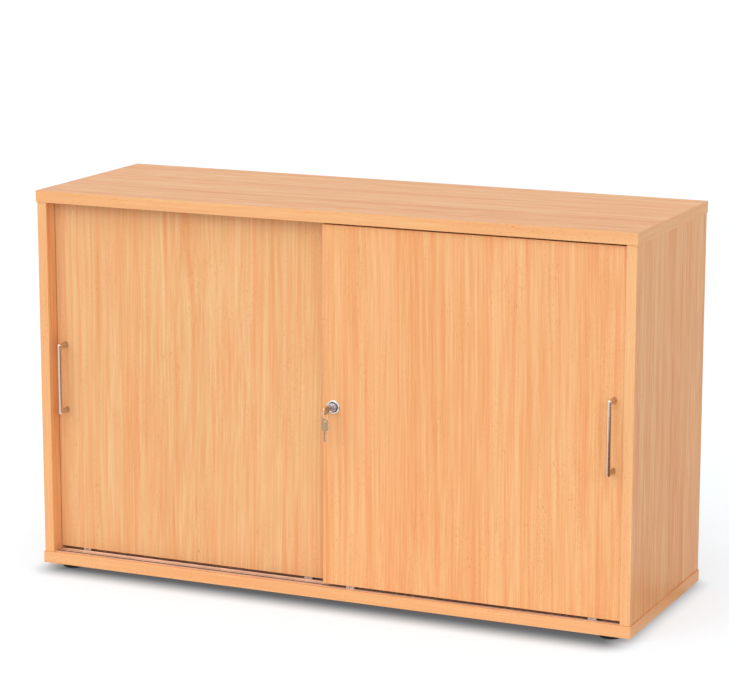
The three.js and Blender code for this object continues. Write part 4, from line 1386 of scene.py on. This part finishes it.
class CABINET_OT_feet(bpy.types.Operator):
    """Makes the levelling feet with their grip ribs, and the inserts above them"""

    bl_idname = "cabinet.feet"
    bl_label = "Levelling feet"

    def execute(self, context):
        sizes = context.scene.cabinet_feet
        for place in ("front_left", "front_right", "back_left", "back_right"):
            self.make_foot(f"{place}_levelling_foot", f"{place}_foot", sizes)
            self.make_insert(f"{place}_foot_insert", sizes)
        return {"FINISHED"}

    def make_foot(self, node, body, sizes):
        """A foot with a ribbed rim, a hub under the base panel and a stem in the insert."""
        low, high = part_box(node)
        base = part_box("base_panel")[0].z
        rim, edge = (high.x - low.x) / 2 - sizes.rib_radius, sizes.edge_radius
        outline = [
            (0, 0), (rim - edge, 0), (rim, edge), (rim, sizes.rim_height),
            (sizes.hub_radius, base - sizes.hub_rise), (sizes.hub_radius, base - sizes.gap),
            (sizes.stem_radius, base - sizes.gap), (sizes.stem_radius, high.z), (0, high.z),
        ]
        blank = turned(f"{node}_blank", rounded(outline, sizes.rib_radius), "Z", Vector(), WIDE_SIDES)
        values = {
            "Count": sizes.ribs, "Rim Radius": rim, "Rib Radius": sizes.rib_radius,
            "Rib Height": sizes.rim_height - edge, "Rib Place": (sizes.rim_height + edge) / 2,
        }
        piece = grown(f"{node}_ribbed", blank.data.copy(), ribbed_tree(), values, "black plastic")
        bpy.data.objects.remove(blank)
        piece.data.transform(Matrix.Translation(node_foot(node)))
        smooth(piece, TURNED_CREASE)
        hand_over(piece, body, node)

    def make_insert(self, node, sizes):
        """The sleeve in the base panel that a foot's stem turns in."""
        low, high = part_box(node)
        outer, bore = (high.x - low.x) / 2, sizes.insert_bore
        tall = high.z - low.z
        outline = [(bore, 0), (outer, 0), (outer, tall), (bore, tall), (bore, 0)]
        piece = turned(f"{node}_turned", outline, "Z", node_foot(node))
        finish_turned(piece, "carcass", node, "grey plastic")


KNOB_STEPS = 6  # points on the rounding of the knob's front
KNOB_FRONT = 3  # length of the knob's part that holds its rounding, in radii of the rounding
SEAT_EDGE = 0.25  # edge of the knob's seat and of the plug, beside the knob's own edge
CUTTER_LENGTH = 4  # length of the keyway's cutter, in lengths of the plug


class CABINET_OT_lock(bpy.types.Operator):
    """Makes the push lock: rosette and barrel, knob with its bolt, plug, spring and strike"""

    bl_idname = "cabinet.lock"
    bl_label = "Lock"

    def execute(self, context):
        sizes = context.scene.cabinet_lock
        self.axis = node_centre("lock_housing")
        self.make_housing(sizes)
        self.make_knob(sizes)
        self.make_plug(sizes)
        self.make_spring(sizes)
        self.make_strike(sizes, context.scene.cabinet_rollers.moulded_edge)
        return {"FINISHED"}

    def origin(self, y):
        """The point of the lock's axis at a depth."""
        return Vector((self.axis.x, y, self.axis.z))

    def make_housing(self, sizes):
        """The rosette with its groove, painted dark as shade, and the barrel behind it."""
        low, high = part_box("lock_housing")
        rosette = (high.x - low.x) / 2
        tall = high.y - low.y
        groove = rosette - sizes.rim_width - sizes.bevel / 2
        mouth = sizes.bolt_radius + sizes.bolt_gap
        wall = tall - sizes.rear_wall
        front = [
            (sizes.bore, sizes.groove_depth), (groove, sizes.groove_depth), (groove, 0),
            (rosette - sizes.bevel, 0), (rosette, sizes.bevel), (rosette, sizes.rosette_thickness),
            (sizes.barrel_radius, sizes.rosette_thickness),
        ]
        outline = rounded(front, sizes.bevel / 3) + [
            (sizes.barrel_radius, tall), (mouth, tall), (mouth, wall), (sizes.bore, wall),
            (sizes.bore, sizes.groove_depth),
        ]
        piece = turned("lock_housing_turned", outline, "Y", self.origin(low.y), WIDE_SIDES)
        paint(piece, "chrome", "dark plastic")
        # the groove's floor inside the rim takes the near-black painted shade
        groove_floor = low.y + sizes.groove_depth
        for face in piece.data.polygons:
            reach = (face.center - self.origin(face.center.y)).length
            if reach < groove and abs(face.center.y - groove_floor) < sizes.bevel / 2:
                face.material_index = 1
        smooth(piece, CUT_CREASE)
        hand_over(piece, "front_door", "lock_housing")

    def make_knob(self, sizes):
        """The push knob with a seat for the plug, and the bolt behind it."""
        low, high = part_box("lock_plunger")
        knob = (high.x - low.x) / 2
        tall = high.y - low.y
        seat = sizes.plug_radius + sizes.bolt_gap
        small = SEAT_EDGE * sizes.knob_edge
        edge = [(seat, small), (seat + small, 0), (knob, 0), (knob, KNOB_FRONT * sizes.knob_edge)]
        outline = [
            (0, sizes.seat_depth), (seat, sizes.seat_depth),
            *rounded(edge, sizes.knob_edge, KNOB_STEPS),
            (knob, sizes.knob_length), (sizes.bolt_radius, sizes.knob_length),
            (sizes.bolt_radius, tall), (0, tall),
        ]
        piece = turned("lock_plunger_turned", outline, "Y", self.origin(low.y), WIDE_SIDES)
        finish_turned(piece, "plunger", "lock_plunger", "dull chrome", CUT_CREASE)

    def make_plug(self, sizes):
        """The plug with its keyway."""
        low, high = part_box("lock_plug")
        tall = high.y - low.y
        radius, edge = sizes.plug_radius, SEAT_EDGE * sizes.knob_edge
        outline = [(0, 0), (radius - edge, 0), (radius, edge), (radius, tall), (0, tall)]
        front = self.origin(low.y)
        piece = turned("lock_plug_turned", outline, "Y", front, PLUG_SIDES)
        keyway = block((sizes.keyway_width, CUTTER_LENGTH * tall, sizes.keyway_height), front)
        cut_by(piece, [object_from("cutter", keyway)])
        finish_turned(piece, "plug_and_key", "lock_plug", "dull chrome", CUT_CREASE)

    def make_spring(self, sizes):
        """The wound spring behind the knob."""
        low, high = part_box("lock_spring")
        long, wire = high.y - low.y, sizes.spring_wire
        piece = wound_wire("lock_spring_wound", sizes.spring_radius, long - wire, sizes.spring_turns, wire)
        start = self.origin(low.y + wire / 2)
        piece.data.transform(Matrix.Translation(start) @ TURN_TO_AXIS["Y"])
        hand_over(piece, "front_door", "lock_spring")
        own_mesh(piece)

    def make_strike(self, sizes, edge):
        """A bevelled block with a stepped hole for each of its screws."""
        low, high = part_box("strike_block")
        bm = block(high - low, (low + high) / 2)
        bevelled(bm, bm.edges[:], edge)
        piece = object_from("strike_block_moulded", bm)
        deep = 2 * (high.y - low.y)
        outline = [
            (0, -deep), (sizes.strike_seat, -deep), (sizes.strike_seat, sizes.strike_sink),
            (sizes.strike_hole, sizes.strike_sink), (sizes.strike_hole, deep), (0, deep),
        ]
        screws = [node_centre(f"strike_screw_{place}") for place in ("lower", "upper")]
        cut_by(piece, [turned("cutter", outline, "Y", Vector((at.x, low.y, at.z))) for at in screws])
        smooth(piece, FITTING_CREASE)
        paint(piece, "grey plastic")
        hand_over(piece, "rear_door", "strike_block")


SHOULDER_TURN = math.radians(72)  # turn of the arc where a key's bow meets its shoulder
RIM_ANGLE = math.radians(60)  # a key's edges sharper than this are bevelled
HOLE_STEPS = 32
GROOVE_OVERRUN = 0.1  # how far a groove runs past each end of the blade, as a share of it
UNHIGHLIGHTED_HOLE_RING = 1.5  # how far round its hole a key keeps its sides' colour rather than the painted edge highlight, in the hole's radii


def key_outline(sizes):
    """A key's outline in (Y, Z): its bow's hole at the origin, its blade along +Y and its cuts below."""
    start = -sizes.hole_offset
    shoulder = start + sizes.bow_length
    tip = shoulder + sizes.blade_length
    bow, blade = sizes.bow_height / 2, sizes.blade_height / 2
    corner, chamfer = sizes.bow_corner, sizes.tip_chamfer
    points = arc((start + corner, -bow + corner), corner, math.pi, math.pi / 2)
    points += arc((shoulder - corner, -bow + corner), corner, -math.pi / 2, SHOULDER_TURN)
    points.append((shoulder, -blade))
    for i in range(sizes.bites):
        y = tip - chamfer - (sizes.bites - i) * sizes.bite_spacing
        points += [(y, -blade), (y + sizes.bite_width / 2, -blade + sizes.bite_depth),
                   (y + sizes.bite_width, -blade)]
    points += [(tip - chamfer, -blade), (tip, -blade + chamfer), (tip, blade - chamfer),
               (tip - chamfer, blade), (shoulder, blade)]
    points += arc((shoulder - corner, bow - corner), corner, math.pi / 2 - SHOULDER_TURN, SHOULDER_TURN)
    points += arc((start + corner, bow - corner), corner, math.pi / 2, math.pi / 2)
    return points


def key_blank(sizes):
    """A bmesh of a key with bevelled edges, its bow's hole at the origin."""
    half = sizes.thickness / 2
    hole = arc((0, 0), sizes.hole_radius, 0, 2 * math.pi, HOLE_STEPS)[:-1]
    bm = bmesh.new()
    edges = []
    for loop in (key_outline(sizes), hole):
        verts = [bm.verts.new((-half, y, z)) for y, z in loop]
        edges += [bm.edges.new((verts[i], verts[(i + 1) % len(verts)])) for i in range(len(verts))]
    bmesh.ops.triangle_fill(bm, edges=edges, use_beauty=True)
    extruded = bmesh.ops.extrude_face_region(bm, geom=bm.faces[:])
    moved = [item for item in extruded["geom"] if isinstance(item, bmesh.types.BMVert)]
    bmesh.ops.translate(bm, verts=moved, vec=(sizes.thickness, 0, 0))
    bmesh.ops.recalc_face_normals(bm, faces=bm.faces)
    bmesh.ops.dissolve_limit(bm, angle_limit=FLAT_ANGLE, verts=bm.verts, edges=bm.edges)
    bevelled(bm, [edge for edge in bm.edges if edge.calc_face_angle(0) > RIM_ANGLE], sizes.edge)
    return bm


def make_key(node, body, hole_centre, turn):
    """A key with a groove along each side of its blade, turned about its hole."""
    sizes = bpy.context.scene.cabinet_keys
    piece = object_from(f"{node}_cut", key_blank(sizes))
    reach = (1 + 2 * GROOVE_OVERRUN) * sizes.blade_length
    middle = sizes.bow_length - sizes.hole_offset - GROOVE_OVERRUN * sizes.blade_length + reach / 2
    size = (2 * sizes.groove_depth, reach, sizes.groove_height)
    sides = (-sizes.thickness / 2, sizes.thickness / 2)
    grooves = [block(size, Vector((side, middle, sizes.groove_height / 2))) for side in sides]
    cut_by(piece, [object_from("cutter", groove) for groove in grooves])
    piece.data.transform(turn)
    piece.data.transform(Matrix.Translation(hole_centre))
    # the flat sides take the metal with the door's reflection painted in, the edges a pale painted
    # highlight
    paint(piece, "key metal", "key edge")
    flat_side = turn.to_3x3() @ Vector((1.0, 0.0, 0.0))
    for face in piece.data.polygons:
        flat = abs(face.normal.dot(flat_side)) > FLAT_SIDE
        round_hole = (face.center - hole_centre).length < UNHIGHLIGHTED_HOLE_RING * sizes.hole_radius
        face.material_index = 0 if flat or round_hole else 1
    smooth(piece, CUT_CREASE)
    hand_over(piece, body, node)


class CABINET_OT_keys(bpy.types.Operator):
    """Makes the key in the lock, the split ring and the spare key that hangs from it"""

    bl_idname = "cabinet.keys"
    bl_label = "Keys"

    def execute(self, context):
        sizes = context.scene.cabinet_keys
        hanging = Matrix.Rotation(math.pi / 2, 4, "Z") @ Matrix.Rotation(-math.pi / 2, 4, "X")
        make_key("key", "plug_and_key", joint_place("key_turn"), Matrix.Identity(4))
        make_key("spare_key", "hanging_key", joint_place("spare_key_swing"), hanging)
        wire, turns = sizes.ring_wire, sizes.ring_turns
        ring = wound_wire("key_ring_wound", sizes.ring_radius, turns * wire, turns, wire)
        upright = Matrix.Rotation(sizes.ring_yaw, 4, "Z") @ Matrix.Rotation(math.pi / 2, 4, "X")
        centre = Matrix.Translation(node_centre("key_ring"))
        ring.data.transform(centre @ upright @ Matrix.Translation((0, 0, -turns * wire / 2)))
        hand_over(ring, "ring", "key_ring")
        return {"FINISHED"}


# Stage

WHITE = (1.0, 1.0, 1.0, 1.0)
BLACK = (0.0, 0.0, 0.0, 1.0)


def make_stage_camera(stage):
    """The camera at the photograph's viewing angle."""
    camera = new_object("camera", bpy.data.cameras.new("camera"))
    camera.data.lens = stage.camera_lens
    camera.location = stage.camera_place
    camera.rotation_euler = (math.radians(90) - stage.camera_pitch, 0.0, stage.camera_yaw)
    bpy.context.scene.camera = camera


def seen_rays(maker):
    """1 for rays that the camera sees straight, in a reflection or through glass."""
    path = maker.add("ShaderNodeLightPath").outputs
    first = maker.math("MAXIMUM", path["Is Camera Ray"], path["Is Glossy Ray"])
    return maker.math("MAXIMUM", first, path["Is Transmission Ray"])


def distance_outside(maker, low, high, turn):
    """Distance from the upright sides of a turned box, below 0 inside it, at each point of the floor."""
    place = maker.add("ShaderNodeTexCoord").outputs["Object"]
    from_middle = maker.vector_math("SUBTRACT", place, (low + high) / 2)
    squared_up = maker.add(
        "ShaderNodeVectorRotate", {"Vector": from_middle, "Angle": turn}, rotation_type="Z_AXIS"
    )
    folded = maker.vector_math("ABSOLUTE", squared_up.outputs[0])
    beyond = maker.vector_math("SUBTRACT", folded, (high - low) / 2)
    parts = maker.add("ShaderNodeSeparateXYZ", {0: beyond}).outputs
    outside = [maker.math("MAXIMUM", parts[i], 0.0) for i in range(2)]
    squares = [maker.math("MULTIPLY", part, part) for part in outside]
    away = maker.math("SQRT", maker.math("ADD", *squares))
    inside = maker.math("MINIMUM", maker.math("MAXIMUM", parts[0], parts[1]), 0.0)
    return maker.math("ADD", away, inside)


def make_floor(stage):
    """The floor, with the soft contact shade that a standing cabinet leaves round its base."""
    bm = bmesh.new()
    bmesh.ops.create_grid(bm, x_segments=1, y_segments=1, size=stage.floor_size / 2)
    floor = object_from("floor", bm)
    floor.data.transform(Matrix.Translation((0.0, 0.0, -TINY)))
    material, maker, shader = new_material("floor")
    low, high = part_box("base_panel")
    inset = Vector((stage.shade_narrowing, 0.0, 0.0))
    distance = distance_outside(maker, low + inset, high - inset, stage.shade_turn)
    core = maker.remap(distance, stage.shade_start, stage.shade_reach, smooth=True)
    halo = maker.remap(distance, 0.0, stage.halo_reach, 1.0 - stage.halo_share, 1.0, smooth=True)
    core_tint = maker.mix(core, opaque(stage.shade_colour), WHITE)
    tint = maker.vector_math("MULTIPLY", core_tint, maker.mix(halo, BLACK, WHITE))
    shaded = maker.vector_math("MULTIPLY", tint, stage.seen_colour)
    seen = seen_rays(maker)
    maker.feed(shader, {
        "Base Color": maker.mix(seen, opaque(stage.floor_colour), shaded),
        "Emission Color": tint,
        "Emission Strength": maker.math("MULTIPLY", seen, stage.floor_glow),
        "Roughness": 1.0,
        "Specular IOR Level": 0.0,
    })
    floor.data.materials.append(material)


# Dark cards on the floor: handle, then each card's near and far reach from it and its two bearings,
# in degrees from the line that runs along the front to the right
DARK_CARDS = [
    ("rear_door_handle", 1.2, 2.4, -60, 16),
    ("front_door_handle", 1.15, 2.3, -54, 40),
]
CARD_STEPS = 24


def make_cards(stage):
    """Dark cards round the handles, each a part of a ring on the floor, which only show in reflections."""
    corners, faces = [], []
    for node, near, far, first, last in DARK_CARDS:
        place = node_centre(node)
        for step in range(CARD_STEPS + 1):
            bearing = math.radians(first + (last - first) * step / CARD_STEPS)
            if step:
                faces.append((len(corners) - 2, len(corners) - 1, len(corners) + 1, len(corners)))
            across, along = math.cos(bearing), math.sin(bearing)
            corners += [
                (place.x + reach * across, place.y + reach * along, stage.card_height)
                for reach in (near, far)
            ]
    mesh = bpy.data.meshes.new("dark cards")
    mesh.from_pydata(corners, [], faces)
    cards = new_object("dark_cards", mesh)
    material, maker, shader = new_material("dark card")
    maker.feed(shader, {"Base Color": opaque(stage.card_colour), "Roughness": 1.0})
    mesh.materials.append(material)
    for rays in ("camera", "diffuse", "transmission", "shadow"):
        setattr(cards, f"visible_{rays}", False)


def make_lamp(name, strength, elevation, turn, spread):
    """A broad lamp far away, in front of the cabinet and turned to the right of it by the angle."""
    lamp = bpy.data.lights.new(name, "SUN")
    lamp.energy = strength * math.pi
    lamp.angle = spread
    new_object(name, lamp).rotation_euler = (math.radians(90) - elevation, 0.0, turn)


def make_light(stage):
    """The key lamp, the fill lamp and an even light from all round."""
    make_lamp("key lamp", stage.key_share, stage.key_elevation, -stage.key_azimuth, stage.key_spread)
    make_lamp("fill lamp", stage.fill_share, stage.fill_elevation, stage.fill_azimuth, stage.fill_spread)
    world = bpy.data.worlds.new("studio")
    world.use_nodes = True
    world.node_tree.nodes.clear()
    maker = NodeMaker(world.node_tree)
    even = maker.add("ShaderNodeBackground", {"Color": WHITE, "Strength": stage.sky_strength})
    white = maker.add("ShaderNodeBackground", {"Color": WHITE, "Strength": 1.0})
    mixed = maker.add("ShaderNodeMixShader", {0: seen_rays(maker), 1: even.outputs[0], 2: white.outputs[0]})
    maker.add("ShaderNodeOutputWorld", {"Surface": mixed.outputs[0]})
    bpy.context.scene.world = world


class CABINET_OT_stage(bpy.types.Operator):
    """Makes the floor, the lamps, the surroundings and the camera"""

    bl_idname = "cabinet.stage"
    bl_label = "Stage"

    def execute(self, context):
        stage = context.scene.cabinet_stage
        make_stage_camera(stage)
        make_floor(stage)
        make_cards(stage)
        make_light(stage)
        context.scene.view_settings.view_transform = "Standard"
        return {"FINISHED"}


OPERATORS = [
    CABINET_OT_stage, CABINET_OT_boards, CABINET_OT_tracks, CABINET_OT_handles,
    CABINET_OT_small_fittings, CABINET_OT_rollers, CABINET_OT_guides, CABINET_OT_feet,
    CABINET_OT_lock, CABINET_OT_keys,
]


class CABINET_PT_panel(bpy.types.Panel):
    """Lists the makers of the cabinet's pieces"""

    bl_idname = "CABINET_PT_panel"
    bl_label = "Sliding door cabinet"
    bl_space_type = "VIEW_3D"
    bl_region_type = "UI"
    bl_category = "Cabinet"

    def draw(self, context):
        for operator in OPERATORS:
            self.layout.operator(operator.bl_idname)


SETTINGS = {
    "cabinet_beech": BeechSettings,
    "cabinet_boards": BoardSettings,
    "cabinet_tracks": TrackSettings,
    "cabinet_metal": MetalSettings,
    "cabinet_handles": HandleSettings,
    "cabinet_rollers": RollerSettings,
    "cabinet_lock": LockSettings,
    "cabinet_keys": KeySettings,
    "cabinet_feet": FootSettings,
    "cabinet_shelf_pins": ShelfPinSettings,
    "cabinet_stage": StageSettings,
}


def register():
    for name, group in SETTINGS.items():
        bpy.utils.register_class(group)
        setattr(bpy.types.Scene, name, PointerProperty(type=group))
    for operator in OPERATORS:
        bpy.utils.register_class(operator)
    bpy.utils.register_class(CABINET_PT_panel)


def unregister():
    bpy.utils.unregister_class(CABINET_PT_panel)
    for operator in OPERATORS:
        bpy.utils.unregister_class(operator)
    for name, group in SETTINGS.items():
        delattr(bpy.types.Scene, name)
        bpy.utils.unregister_class(group)


def main():
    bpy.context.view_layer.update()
    register()
    for operator in OPERATORS:
        group, action = operator.bl_idname.split(".")
        getattr(getattr(bpy.ops, group), action)()


if __name__ == "__main__":
    main()
